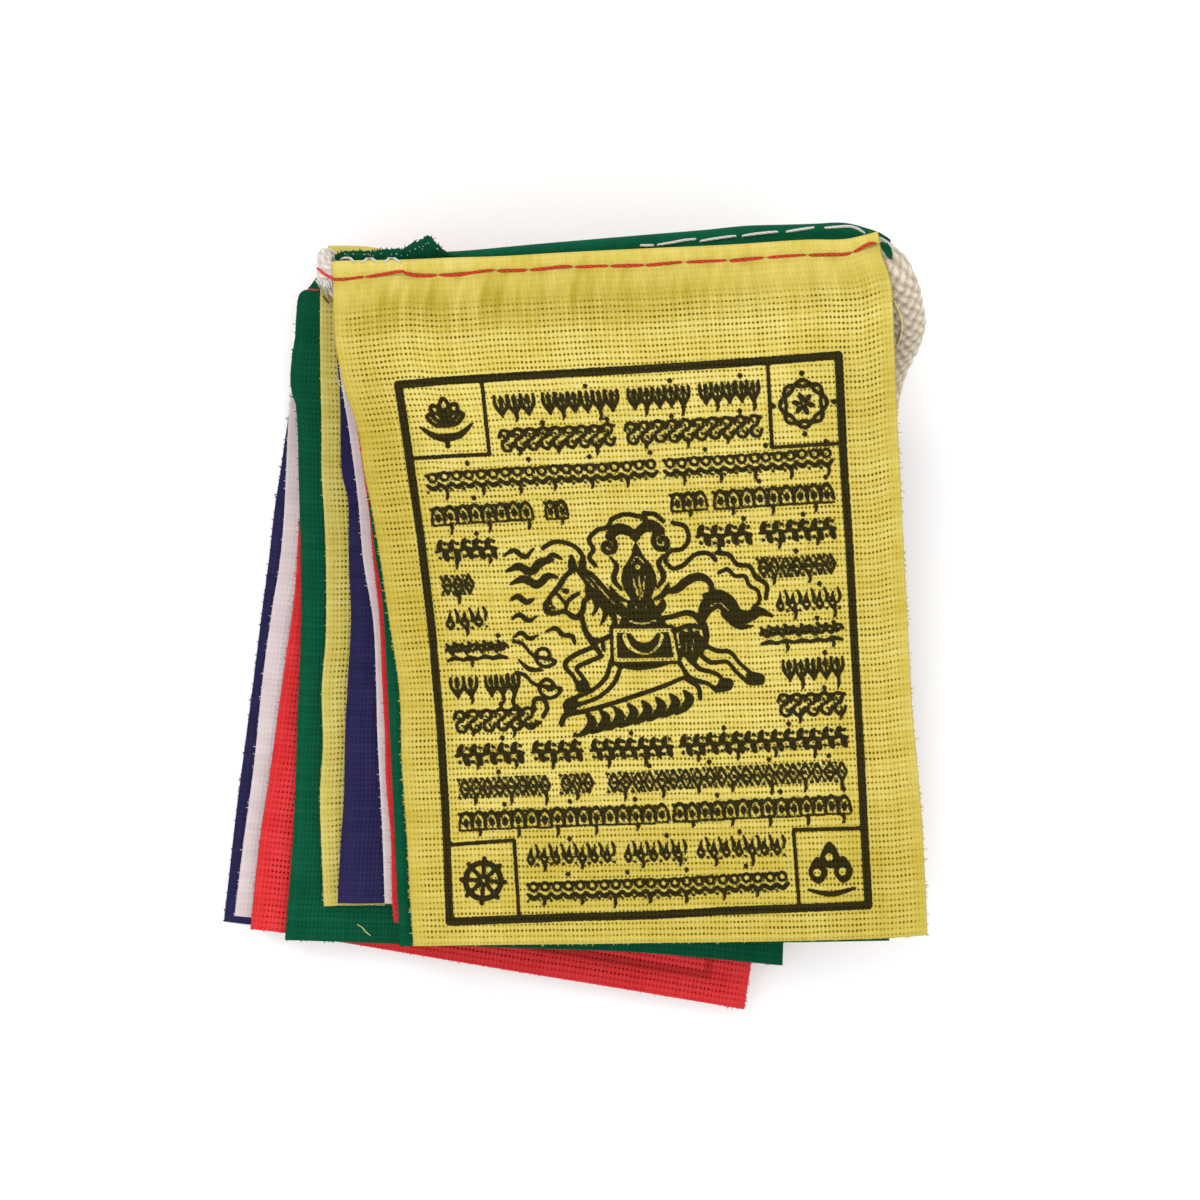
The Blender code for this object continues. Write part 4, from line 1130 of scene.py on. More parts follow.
MAT = {
    "yellow": cotton("yellow_cotton", lin(220, 200, 72), lin(246, 232, 158), lin(184, 158, 0), lin(92, 68, 0), lin(150, 124, 0),
                     ink=(lin(16, 13, 3), lin(42, 36, 14)), ink_gain=0.98, seed=1.0),
    # the sixth flag, which shows its back: the same yellow cotton made darker, holes and all, as painted shade beside
    # and under the front flag
    "yellow_back_shaded": cotton("yellow_cotton_2", lin(204, 188, 84), lin(232, 220, 146), lin(174, 154, 18), lin(60, 48, 0), lin(132, 110, 0), seed=4.0),
    "green": cotton("green_cotton", lin(2, 80, 51), lin(22, 102, 72), lin(0, 60, 36), lin(0, 26, 12), lin(1, 56, 32), (0.4, 0.5, 0.5), open_w=0.7, hole_gain=0.35, seed=11.0),
    "red": cotton("red_cotton", lin(222, 46, 50), lin(240, 78, 80), lin(188, 22, 26), lin(112, 4, 8), lin(162, 12, 16), (0.6, 0.3, 0.3), open_w=0.85, seed=21.0,
                  ink=(lin(140, 24, 22), lin(170, 44, 40)), ink_soft=0.22, ink_gain=0.62),
    "white": cotton("white_cotton", lin(216, 201, 201), lin(236, 224, 224), lin(186, 170, 170), lin(120, 100, 100), lin(166, 146, 146), (0.7, 0.6, 0.6), open_w=0.6, hole_gain=0.2, seed=31.0),
    "blue": cotton("blue_cotton", lin(38, 34, 74), lin(56, 52, 96), lin(24, 20, 56), lin(8, 6, 26), lin(18, 15, 44), (0.5, 0.5, 0.6), open_w=0.65, hole_gain=0.2, seed=41.0,
                   ink=(lin(10, 8, 14), lin(24, 22, 30))),
}


# ----------------------------------------------------------------- the flags

def paint(ob, mat):
    ob.data.materials.append(mat)
    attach(ob, "root")


# needle holes of the top flag's seam, mm from its left end
NEEDLES = [0.0, 3.9, 8.9, 14.6, 19.7, 24.0, 29.0, 34.0, 38.6, 43.0, 47.9, 52.4, 57.8, 62.9]


def pucker(x, s, under):
    """Cloth drawn in at each needle hole and puffed between them."""
    d = np.min(np.abs(x[..., None] - np.array(NEEDLES)), axis=-1)
    w = waves(5, 7, 3.0, 19.0)(x)
    puff = ease(d, 0.0, 2.2) - 0.55
    near = bell(s - 0.2, 1.7)
    tail = bell(s - 2.6, 2.0) * (s > 0)
    out = 0.20 * puff * near + 0.16 * w * tail + 0.09 * waves(8, 7, 1.2, 4.5)(x + 0.3 * s) * bell(s - 2.0, 2.4)
    return np.where(under, -0.05 * w * bell(s, 2.0), out)


def top_ripple(x, s, X, Y):
    """Soft troughs and ridges of the top flag, placed one by one."""
    z = np.zeros_like(x)

    def ridge(x0, s0, x1, s1, width, height):
        dx, ds = x1 - x0, s1 - s0
        L2 = dx * dx + ds * ds
        t = np.clip(((x - x0) * dx + (s - s0) * ds) / L2, 0, 1)
        d = np.hypot(x - x0 - t * dx, s - s0 - t * ds)
        return height * bell(d, width)

    z += ridge(1.0, 9.0, 9.0, 5.0, 2.6, -0.34)      # hollow at the upper left corner
    z += ridge(9.0, 5.5, 32.0, 6.5, 2.4, -0.26)     # and under the seam
    z += ridge(3.0, 3.5, 8.0, 13.0, 1.8, 0.16)
    z += ridge(37.0, 4.0, 31.0, 13.0, 3.0, 0.24)    # a low ridge from the seam
    z += ridge(40.0, 19.0, 52.0, 23.0, 3.5, -0.22)
    z += ridge(50.0, 4.0, 60.0, 12.0, 3.2, 0.20)
    z += ridge(2.0, 30.0, 9.0, 52.0, 4.0, 0.22)
    z += ridge(22.0, 60.0, 44.0, 54.0, 5.0, 0.20)
    z += ridge(12.0, 44.0, 30.0, 38.0, 4.0, -0.18)
    z += ridge(54.0, 40.0, 61.0, 66.0, 4.0, -0.20)
    z += 0.10 * waves(12, 6, 9.0, 34.0)(x * 0.9 + s * 0.25) + 0.10 * waves(13, 6, 9.0, 34.0)(s - 0.3 * x)
    z += 0.05 * waves(14, 6, 4.0, 9.0)(s) * ease(np.abs(x / 63.5 - 0.5), 0.38, 0.5)
    return z


def top_shade(x, s):
    """Painted shade on the top flag: darker in the drawn-in cloth under its seam, at its needle holes, in streaks, in
    its hollows, and towards its left, right and lower margins.
    """
    d = np.min(np.abs(x[..., None] - np.array(NEEDLES)), axis=-1)
    streak = waves(61, 9, 0.5, 2.2)(x + 0.25 * s + 0.4 * np.sin(s * 0.5))
    wide = waves(62, 6, 3.0, 12.0)(x)
    along_x = 0.35 + 0.65 * ease(x, 0.0, 5.0) * (1 - 0.75 * ease(x, 34.0, 52.0))
    v = 0.62 * bell(s - 2.9, 2.4) * (0.75 + 0.3 * wide + 0.30 * streak) * along_x
    v += 0.32 * bell(s - 6.0, 2.6) * along_x * (0.8 + 0.25 * streak)
    v += 0.50 * bell(s - 0.3, 0.75) * (1 - 0.5 * ease(d, 0.0, 1.6))
    v += 0.14 * np.clip(streak, 0, 1) * bell(s + 0.8, 1.0)
    v += 0.30 * bell(np.hypot((x - 3.0) / 1.6, (s - 6.0) / 1.2), 2.2)
    v += 0.14 * ease(s, 15.0, 30.0) + 0.34 * ease(s, 60.0, 74.0) * ease(x, 5.0, 16.0) * (1 - 0.4 * ease(x, 54.0, 60.0))
    v += (0.60 - 0.16 * ease(s, 20.0, 34.0) - 0.10 * ease(s, 36.0, 55.0)) * (1 - ease(x, 2.5, 10.0)) * ease(s, 5.0, 16.0)
    v += (0.34 - 0.18 * ease(s, 18.0, 28.0)) * ease(x, 50.0, 58.0) * ease(s, 8.0, 14.0)
    return np.clip(v, 0.0, 0.85)


def calm_ripple(number):
    a, b, c = waves(100 + number, 5, 8.0, 40.0), waves(200 + number, 5, 8.0, 40.0), waves(300 + number, 6, 2.5, 8.0)

    def f(x, s, X, Y):
        edge = ease(np.abs(x / WIDE[number] - 0.5), 0.40, 0.5)
        return 0.11 * a(x + 0.2 * s) + 0.11 * b(s - 0.2 * x) + 0.06 * c(s) * edge
    return f


def spread_marks(parts):
    """Positions from (end, step) pairs, starting at the first number."""
    out = [parts[0]]
    for end, step in parts[1:]:
        n = max(1, int(round((end - out[-1]) / step)))
        out += list(out[-1] + (end - out[-1]) * (np.arange(1, n + 1) / n))
    return np.array(out)


flags = {}
for number in range(1, 11):
    wide = WIDE[number]
    if number == 1:
        us = spread_marks([0.0, (0.6, 0.3), (4.0, 0.6), (wide - 4.6, 0.236), (wide - 0.6, 0.6), (wide, 0.3)]) / wide
        rows_s = spread_marks([5.8, (10.4, 0.5), (80.4, 0.236), (LONG, 0.4)])
    elif number == 10:
        us = spread_marks([0.0, (0.6, 0.3), (3.6, 0.7), (wide - 3.6, 0.36), (wide - 0.6, 0.7), (wide, 0.3)]) / wide
        rows_s = spread_marks([6.2, (9.6, 0.8), (79.0, 0.36), (LONG, 0.5)])
    else:
        fine = 0.8 if number in (2, 6, 7) else 1.3
        us = spread_marks([0.0, (0.5, 0.25), (4.1, 0.9), (wide - 4.1, fine), (wide - 0.5, 0.9), (wide, 0.25)]) / wide
        rows_s = spread_marks([6.4, (11.0, 1.1), (LONG - 4.0, 1.35), (LONG - 0.5, 0.9), (LONG, 0.25)])
        if number == 8:   # rows and columns on the lines that show through
            us = np.unique(np.round(np.concatenate([us * wide, wide - np.array([4.0, 4.6, 5.1, 5.6, 6.2])]), 4)) / wide
            rows_s = np.unique(np.round(np.concatenate([rows_s, LONG - np.array([2.2, 2.8, 3.3, 3.8, 4.4])]), 4))
    stitch = pucker if number == 1 else None
    ripple = top_ripple if number == 1 else calm_ripple(number)
    P, flat, s, under = cloth_points(number, us, rows_s, stitch, ripple)
    R, C = P.shape[:2]
    inks = [None, None]
    colour = NODES[number].split("_")[-1]
    if number == 1:
        plan = Plan(1)
        U, S = np.meshgrid(us, s)
        pa, pb = print_place(plan.px(U, S))
        ink = block.sample(pa, pb)
        ink[~((pa > -1) & (pa < PRINT_W + 1) & (pb > -1) & (pb < PRINT_H + 1))] = 9.0
        ink[under] = 9.0
        inks[0] = ink
        kr = sorted(set(list(range(0, 32)) + list(range(32, R, 4)) + [R - 1]))
        kc = sorted(set(list(range(0, C, 4)) + [C - 1]))
    elif number == 10:
        U, S = np.meshgrid(us, s)
        pa = (1 - U) * wide - 3.6            # seen from below, so the other way round
        pb = S - 10.8
        ink = block.sample(pa, pb)
        ink[~((pa > -1) & (pa < PRINT_W + 1) & (pb > -1) & (pb < PRINT_H + 1))] = 9.0
        ink[under] = 9.0
        inks[0] = ink
        kr = sorted(set(list(range(0, 33)) + list(range(33, R, 3)) + [R - 1]))
        kc = sorted(set(list(range(0, C, 3)) + [C - 1]))
    else:
        if number == 8:
            U, S = np.meshgrid(us, s)
            a = U * wide
            x0, x1, y0, y1 = 5.1, wide - 5.1, 11.5, LONG - 3.3
            ox, oy = np.maximum(np.abs(a - (x0 + x1) / 2) - (x1 - x0) / 2, -99), np.abs(S - (y0 + y1) / 2) - (y1 - y0) / 2
            inks[0] = np.abs(np.maximum(ox, oy)) - 0.5
        kr, kc = list(range(R)), list(range(C))
    ob = sheet_object(number, "cloth_" + NODES[number][5:], P, us, flat, s, kr, kc, inks, top_shade if number == 1 else None, under)
    mat = MAT["yellow_back_shaded"] if number == 6 else MAT[colour]
    paint(ob, mat)
    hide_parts(NODES[number])
    flags[number] = dict(ob=ob, plan=Plan(number), P=P, us=us, s=s, under=under)


# ----------------------------------------------------------------- the cord

def frames(path, ref):
    """Side and normal at each point of a path. The side keeps to ref, one direction a point, where it can."""
    t = np.gradient(path, axis=0)
    t /= np.linalg.norm(t, axis=1)[:, None]
    side = np.zeros_like(path)
    prev = None
    for i in range(len(path)):
        c = ref[i] - np.dot(ref[i], t[i]) * t[i]
        size = np.linalg.norm(c)
        if prev is None:
            side[i] = c / size
        else:
            q = prev - np.dot(prev, t[i]) * t[i]
            q /= np.linalg.norm(q)
            c = c / max(size, 1e-6)
            if np.dot(c, q) < 0:
                c = -c
            k = float(ease(size, 0.45, 0.8)) * 0.25
            side[i] = q * (1 - k) + c * k
            side[i] /= np.linalg.norm(side[i])
        prev = side[i]
    return t, side, np.cross(t, side)


# the free end at the front flag's right, from the hem on: picture pixels, height, width, thickness
TAIL_TOP = ((882, 253, 25.8, 3.1, 1.3), (889, 262, 25.2, 3.6, 2.3), (897, 275, 23.8, 4.0, 2.9), (902, 290, 21.6, 4.2, 3.0),
            (905, 305, 19.2, 4.2, 3.0), (907.5, 322, 16.2, 4.2, 3.0), (904.5, 340, 12.8, 4.0, 3.0), (897, 358, 9.6, 3.8, 2.9),
            (889.5, 378, 7.0, 3.6, 2.8), (884, 400, 4.8, 3.5, 2.7), (880, 428, 2.7, 3.5, 2.7))
TAIL_END = ((2.4, -0.2, 0.2), (4.9, 0.4, 0.3), (7.0, 2.0, 0.4), (8.3, 4.4, 0.4), (8.8, 7.0, 0.4))

# where the cord's straight runs end at the left, in picture pixels
CORD_X = {1: 333, 2: 337, 3: 342, 4: 341, 5: 340, 6: 338, 7: 337, 8: 340, 9: 340, 10: 340}
route = []        # x, y, z, width, thickness, how finely it is modelled
ends = {}
for number in range(1, 11):
    plan = flags[number]["plan"]
    us = np.linspace(0.012, 0.988, 21)
    z = np.polyval(HEM_Z[number], us)
    edge_px, line_px = plan.pick(plan.fold, us), plan.pick(plan.top, us)
    q = line_px - edge_px
    q = edge_px + q / np.linalg.norm(q, axis=1)[:, None] * 14.5
    q[:, 0] = CORD_X[number] + (q[:, 0] - q[0, 0]) * (q[-1, 0] - CORD_X[number]) / (q[-1, 0] - q[0, 0])
    x, y = at(q[:, 0], q[:, 1], z)
    pts = np.stack([x, y, z], axis=-1)
    ends[number] = pts[::-1] if number % 2 else pts
for px_, py_, pz, w, t in reversed(TAIL_TOP):
    route.append((*at(px_, py_, pz), pz, w, t, 1))
for number in range(1, 11):
    pts = ends[number]
    for k, p in enumerate(pts):
        route.append((*p, 3.0, 1.1, 1 if k in (0, len(pts) - 1) else 0))
    if number == 10:
        break
    p, q = pts[-1], ends[number + 1][0]
    sgn = -1.0 if number % 2 else 1.0
    edge = min(p[0], q[0]) if sgn < 0 else max(p[0], q[0])
    if number == 1:     # the full, soft bend beside the front flag
        for px_, py_, f, w, t in ((329.4, 276, 0.02, 3.0, 1.3), (325.4, 272, 0.25, 3.7, 1.9), (325.4, 264, 0.75, 3.9, 1.9),
                                  (329.4, 263, 0.98, 3.0, 1.3)):
            z = p[2] + (q[2] - p[2]) * f
            route.append((*at(px_, py_, z), z, w, t, 1))
        continue
    out = 0.9
    for f, o in ((0.03, 0.45), (0.22, 1.0), (0.78, 1.0), (0.97, 0.45)):
        r = p + (q - p) * f
        route.append((edge + sgn * out * o, r[1], r[2], 2.3, 1.7, 1))
b = ends[10][-1]
for dx, dy, dz in TAIL_END:
    full = min(1.0, dx / 5.0)
    w, t = 3.0 + 0.5 * full, 1.1 + 1.5 * full
    route.append((b[0] + dx, b[1] + dy, max(b[2] + dz, t / 2 + 0.1), w, t, 1))
route = np.array(route)
line = dense(route, 0.2)
run = length_of(line[:, :3])
# stations: close where the cord shows, wide apart inside the hems
spots, here = [], 0.0
while here < run[-1]:
    spots.append(here)
    fine = np.interp(here, run, line[:, 5])
    here += 0.17 if fine > 0.05 else 1.6
spots.append(run[-1])
spots = np.array(spots)
path = np.stack([np.interp(spots, run, line[:, k]) for k in range(3)], axis=-1)
cw, ct = (np.interp(spots, run, line[:, k]) for k in (3, 4))
tail_run = run[np.argmin(np.linalg.norm(line[:, :3] - route[len(TAIL_TOP) - 2, :3], axis=1))]
lead = np.where((spots < tail_run)[:, None], np.array([1.0, 0.0, 0.0]), np.array([0.0, 1.0, 0.0]))
t_, side_, up_ = frames(path[::-1], lead[::-1])
t_, side_, up_ = -t_[::-1], side_[::-1], up_[::-1]

SIDES = 44
ang = np.linspace(0, 2 * np.pi, SIDES, endpoint=False)
A_, L_ = np.meshgrid(ang, spots)
carriers = 8.0
turn_len = 8.8
p1 = A_ * carriers / (2 * np.pi) + L_ / turn_len * carriers / 2
p2 = A_ * carriers / (2 * np.pi) - L_ / turn_len * carriers / 2
o_ = np.sin(np.pi * p1) * np.sin(np.pi * p2)
h1 = np.abs(np.sin(np.pi * p1)) ** 0.6 * (0.62 + 0.38 * o_)
h2 = np.abs(np.sin(np.pi * p2)) ** 0.6 * (0.62 - 0.38 * o_)
braid = np.maximum(h1, h2)
free = ease(np.interp(spots, run, line[:, 4]), 1.2, 1.8)[:, None]
w_ = (cw / 2)[:, None] * (1 + 0.03 * waves(31, 5, 4.0, 15.0)(spots)[:, None])
h_ = (ct / 2)[:, None] * (1 + 0.04 * waves(32, 5, 4.0, 15.0)(spots)[:, None])
bulge = (braid - 0.55) * (0.10 + 0.32 * free)
# a rounded flat section
ex = 2.0 / (2.6 - 0.5 * free)
cx_ = np.sign(np.cos(A_)) * np.abs(np.cos(A_)) ** ex
sy_ = np.sign(np.sin(A_)) * np.abs(np.sin(A_)) ** ex
ring = (path[:, None, :] + side_[:, None, :] * (cx_ * w_ + bulge * np.cos(A_))[..., None]
        + up_[:, None, :] * (sy_ * h_ + bulge * np.sin(A_))[..., None])
nr = len(spots)
verts = list(ring.reshape(-1, 3))
faces = []
for i in range(nr - 1):
    for j in range(SIDES):
        k = (j + 1) % SIDES
        faces.append((i * SIDES + j, i * SIDES + k, (i + 1) * SIDES + k, (i + 1) * SIDES + j))
for i, d in ((0, -1.0), (nr - 1, 1.0)):      # cut ends: a shallow dome
    centre = len(verts)
    tip = path[i] + t_[i] * d * 0.5
    rim = [i * SIDES + j for j in range(SIDES)]
    mid = []
    for j in range(SIDES):
        mid.append(len(verts))
        verts.append(path[i] + (ring[i, j] - path[i]) * 0.6 + t_[i] * d * 0.35)
    centre = len(verts)
    verts.append(tip)
    for j in range(SIDES):
        k = (j + 1) % SIDES
        quad = (rim[j], mid[j], mid[k], rim[k])
        tri = (mid[j], centre, mid[k])
        faces.append(quad if d > 0 else quad[::-1])
        faces.append(tri if d > 0 else tri[::-1])
me = build_mesh("cord_braid", verts, faces)
strand = np.zeros((len(verts), 3))
strand[:nr * SIDES] = np.stack([L_, A_ * 1.6, braid], axis=-1).reshape(-1, 3)
strand[nr * SIDES:, 2] = 0.2
vec_attr(me, "strand", strand)
# painted highlight: the cord is lighter at its bend beside the front flag, fading within about 3 mm
bend = at(325.0, 264.0, 24.0)
bend_highlight = np.array([math.exp(-(math.hypot(v[0] - bend[0], v[1] - bend[1]) / 3.2) ** 2) * (1.0 if v[2] > 20 else 0.2) for v in verts])
float_attr(me, "bend_highlight", bend_highlight)
cord_ob = bpy.data.objects.new("cord_braid", me)
bpy.context.scene.collection.objects.link(cord_ob)


def cord_material():
    g = Graph("white_cord")
    a = g.attr("strand")["Vector"]
    s = g.split(a)
    la, wa = s[0], s[1]
    fibre = g.noise(g.vec(g.mul(la, 5.0), g.mul(wa, 5.0), 0.0), 1.0, 3.0, 0.6)["Fac"]
    fine = g.noise(g.vec(g.mul(la, 16.0), g.mul(wa, 16.0), 3.0), 1.0, 2.0)["Fac"]
    patch = g.noise(g.vec(g.mul(la, 0.5), wa, 9.0), 1.0, 2.0)["Fac"]
    # the braid's crowns lighter and the hollows between its strands darker, a painted highlight and shade, with fibre
    # and patch noise of its own
    t = g.m("ADD", g.mul(g.sub(s[2], 0.30), 1.15), g.add(g.mul(g.sub(fibre, 0.5), 0.7), g.mul(g.sub(patch, 0.5), 0.4)), clamp=True)
    col = g.mix(t, lin(176, 156, 126), lin(255, 246, 228))
    # painted highlight: lighter colours at the cord's bend beside the front flag
    col = g.mix(g.attr("bend_highlight")["Fac"], col, g.mix(t, lin(206, 192, 180), lin(252, 246, 240)))
    g.feed(g.bsdf.inputs["Base Color"], col)
    g.bsdf.inputs["Roughness"].default_value = 0.9
    g.bsdf.inputs["Specular IOR Level"].default_value = 0.2
    g.bsdf.inputs["Sheen Weight"].default_value = 0.2
    g.bsdf.inputs["Sheen Roughness"].default_value = 0.5
    g.bump(g.add(fibre, g.mul(fine, 0.5)), 0.00012)
    return g.mat


paint(cord_ob, cord_material())
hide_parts("cord")


# ----------------------------------------------------------------- threads: seams, loose ends and fray

class Strands:
    """Many thin tubes in one mesh."""

    def __init__(self):
        self.v, self.f, self.a = [], [], []

    def tube(self, pts, radius, sides=6, step=0.25, flat=1.0, up=(0, 0, 1)):
        p = np.asarray(pts, float)
        p = dense(p, step) if len(p) > 2 else p
        r = np.full(len(p), radius, float) if np.isscalar(radius) else np.interp(np.linspace(0, 1, len(p)), np.linspace(0, 1, len(radius)), radius)
        t = np.gradient(p, axis=0)
        t /= np.maximum(np.linalg.norm(t, axis=1), 1e-9)[:, None]
        u = np.array(up, float)
        s = np.cross(t, u)
        bad = np.linalg.norm(s, axis=1) < 0.1
        s[bad] = np.cross(t[bad], np.array([0.3, 1.0, 0.0]))
        s /= np.linalg.norm(s, axis=1)[:, None]
        n = np.cross(s, t)
        L = length_of(p)
        base = len(self.v)
        for i in range(len(p)):
            for k in range(sides):
                a = 2 * math.pi * k / sides
                self.v.append(p[i] + s[i] * math.cos(a) * r[i] + n[i] * math.sin(a) * r[i] * flat)
                self.a.append((L[i], a, 0.0))
        for i in range(len(p) - 1):
            for k in range(sides):
                q = (k + 1) % sides
                self.f.append((base + i * sides + k, base + (i + 1) * sides + k, base + (i + 1) * sides + q, base + i * sides + q))
        self.f.append(tuple(base + k for k in range(sides)))
        self.f.append(tuple(base + (len(p) - 1) * sides + k for k in range(sides))[::-1])

    def make(self, name, mat, slot, seed=0.0):
        if not self.v:
            return None
        me = build_mesh(name, self.v, self.f)
        arr = np.array(self.a)
        arr[:, 2] = seed
        vec_attr(me, "strand", arr)
        ob = bpy.data.objects.new(name, me)
        bpy.context.scene.collection.objects.link(ob)
        paint(ob, mat)
        return ob


def on_top(px, py, number, lift=0.0):
    """The point of a flag's upper side under a picture pixel, found on its own mesh."""
    tree = TREES[number]
    a = Vector(CAM)
    x, y = at(px, py, 0.0)
    d = (Vector((x, y, 0.0)) - a).normalized()
    hit = tree.ray_cast(a, d)[0]
    if hit is None:
        z = float(np.polyval(HEM_Z[number], 0.5))
        x, y = at(px, py, z)
        return np.array([x, y, z + lift])
    return np.array([hit.x, hit.y, hit.z + lift])


TREES = {}
for number in flags:
    me = flags[number]["ob"].data
    TREES[number] = BVHTree.FromPolygons([v.co * 1000.0 for v in me.vertices], [tuple(p.vertices) for p in me.polygons])


TREES["cord"] = BVHTree.FromPolygons([v.co * 1000.0 for v in cord_ob.data.vertices], [tuple(p.vertices) for p in cord_ob.data.polygons])


def surface(px, py, lift=0.0):
    """The highest point of all cloth and cord under a picture pixel."""
    best = np.array([*at(px, py, 0.0), 0.05])
    a = Vector(CAM)
    d = (Vector((best[0], best[1], 0.0)) - a).normalized()
    for tree in TREES.values():
        hit = tree.ray_cast(a, d)[0]
        if hit is not None and hit.z > best[2]:
            best = np.array([hit.x, hit.y, hit.z])
    return best + np.array([0.0, 0.0, lift])


def laid(strands, px_points, radius, lift=0.08, sides=6, slack=None):
    """A loose thread that lies on whatever is under it and spans small hollows."""
    q = dense(np.asarray(px_points, float), 1.2) if len(px_points) > 2 else along(np.asarray(px_points, float), np.linspace(0, 1, 7))
    pts = np.array([surface(x, y, lift) for x, y in q])
    for _ in range(6):
        pts[1:-1, 2] = np.maximum(pts[1:-1, 2], (pts[:-2, 2] + pts[2:, 2]) / 2)
    strands.tube(pts, radius, sides, 0.2)


def patch(name, number, mat, slot, top_px, low_px, z_low, z_top, n=110, m=9, ragged=0.7, seed=7):
    """A strip of cloth that turns out of a hem: top and low edge in picture pixels, heights along them."""
    r = np.random.RandomState(seed)
    u = np.linspace(0, 1, n)
    a, b = along(top_px, u), along(low_px, u)
    tooth = np.interp(u * n, np.arange(0, n + 2, 1.5), r.normal(0, ragged, len(np.arange(0, n + 2, 1.5))))
    tooth = tooth * ease(np.minimum(u, 1 - u), 0.0, 0.03)
    a[:, 1] += tooth
    za = np.interp(u, np.linspace(0, 1, len(z_top)), z_top)
    zb = np.interp(u, np.linspace(0, 1, len(z_low)), z_low)
    v = np.linspace(0, 1, m)
    P = np.zeros((m, n, 3))
    for i, f in enumerate(v):
        q = a * (1 - f) + b * f
        z = za * (1 - f) + zb * f + 0.10 * waves(seed + 3, 5, 0.06, 0.4)(u) * (1 - f)
        x, y = at(q[:, 0], q[:, 1], z)
        P[i] = np.stack([x, y, z], axis=-1)
    N = grid_normals(P)
    verts = np.vstack([(P + N * 0.14).reshape(-1, 3), (P - N * 0.14).reshape(-1, 3)])
    k = m * n
    faces = []
    for i in range(m - 1):
        for j in range(n - 1):
            q = (i * n + j, (i + 1) * n + j, (i + 1) * n + j + 1, i * n + j + 1)
            faces += [q, tuple(k + c for c in q[::-1])]
    for i in range(m - 1):
        for j, turn in ((0, 1), (n - 1, -1)):
            q = (i * n + j, k + i * n + j, k + (i + 1) * n + j, (i + 1) * n + j)
            faces.append(q[::turn])
    for j in range(n - 1):
        for i, turn in ((0, -1), (m - 1, 1)):
            q = (i * n + j, k + i * n + j, k + i * n + j + 1, i * n + j + 1)
            faces.append(q[::turn])
    me = build_mesh(name, verts, faces)
    mm_u = u * length_of(P[0])[-1]
    U, V = np.meshgrid(mm_u, np.linspace(0, 1.6, m))
    vec_attr(me, "cloth", np.tile(np.stack([U, V, 0.4 + 0 * U], axis=-1).reshape(-1, 3), (2, 1)))
    float_attr(me, "ink", np.full(2 * k, 9.0))
    # painted shade: the turned-out strips are darkened evenly
    float_attr(me, "shade", np.full(2 * k, 0.32))
    ob = bpy.data.objects.new(name, me)
    bpy.context.scene.collection.objects.link(ob)
    paint(ob, mat)
    TREES[name] = BVHTree.FromPolygons([Vector(c) for c in verts], faces)
    return ob, P


def seam(strands, number, runs, radius=0.19, lift=0.10):
    """Each stitch is one arch between its needle holes, seen at picture pixels."""
    for run_px in runs:
        q = np.asarray(run_px, float)
        for i, j in ((0, 1), (-1, -2)):      # each end dips a little beyond its last visible pixel
            d = q[i] - q[j]
            q[i] += d / np.linalg.norm(d) * 0.9
        q = dense(q, 4.0) if len(q) > 2 else along(q, np.linspace(0, 1, 9))
        n = len(q)
        pts = []
        for i, (x, y) in enumerate(q):
            e = min(i, n - 1 - i) / (n - 1)
            pts.append(on_top(x, y, number, lift * float(ease(e, 0.0, 0.10)) - 0.16 * (1 - float(ease(e, 0.0, 0.07)))))
        pts = np.array(pts)
        # a thread spans small hollows
        for _ in range(3):
            pts[1:-1, 2] = np.maximum(pts[1:-1, 2], (pts[:-2, 2] + pts[2:, 2]) / 2)
        strands.tube(pts, [radius * 0.8, radius, radius, radius, radius * 0.8], 8, 0.3, 0.75)


M_RED = thread("red_thread", lin(150, 24, 4), lin(226, 66, 26))
M_WHITE = thread("white_thread", lin(196, 190, 182), lin(240, 238, 232))
M_BROWN = thread("brown_thread", lin(120, 60, 44), lin(176, 104, 84))
M_YELLOW = thread("yellow_thread", lin(196, 168, 70), lin(236, 216, 120))
M_GREEN = thread("green_thread", lin(8, 66, 40), lin(44, 112, 82))
M_FRED = thread("fray_red_thread", lin(190, 36, 46), lin(240, 110, 114))
M_FWHITE = thread("fray_white_thread", lin(190, 176, 184), lin(232, 222, 228))
M_BLUE = thread("blue_thread", lin(20, 18, 50), lin(60, 56, 96))

red = Strands()
seam(red, 1, [
    [(334.5, 279.5), (342, 279.6), (348, 279), (356, 278), (363, 276.6)],
    [(366, 277.3), (378, 275), (390, 273), (400, 271.7), (404.5, 271.6)],
    [(404.5, 271.8), (412, 275.2), (421, 276), (430, 275.9), (437, 275)],
    [(438.5, 274.9), (450, 275.4), (462, 274.4), (478, 271.8), (494, 269.4)],
    [(497, 271), (512, 270.9), (527, 270.3)],
    [(530, 270.3), (545, 268.6), (560, 266.6), (572, 266.2)],
    [(575, 267), (592, 266.4), (608, 265.6)],
    [(611, 266.4), (628, 265.8), (644, 265.3)],
    [(646.5, 265.8), (665, 263.6), (683, 261.9)],
    [(686, 262.3), (706, 261.2), (727, 260.3)],
    [(730, 261.2), (747, 259.4), (764, 257.7)],
    [(767, 257.7), (786, 256.0), (806.5, 254.9)],
    [(809, 255.6), (828, 254.9), (846, 254.3), (852, 252.2)],
    [(853.5, 252), (862, 247.4), (869, 243.9), (875.5, 243)],
])
red_ob = red.make("seam_red", M_RED, "red_cotton", 0.3)

white = Strands()
seam(white, 2, [
    [(640, 245.4), (647, 245.6), (654, 245.2)],
    [(657, 245.0), (670, 243), (684, 240.4), (696, 239)],
    [(700, 241.2), (712, 239.2), (724, 237.4), (736, 235.9)],
    [(742, 236), (754, 234.2), (766, 232.8), (778, 231.8)],
    [(786, 231.9), (800, 229.6), (814, 227.5)],
    [(824.6, 228), (838, 227), (850, 226.6), (858, 229), (865, 233.5)],
], 0.17, 0.08)
white_ob = white.make("seam_white", M_WHITE, "white_cord", 0.5)

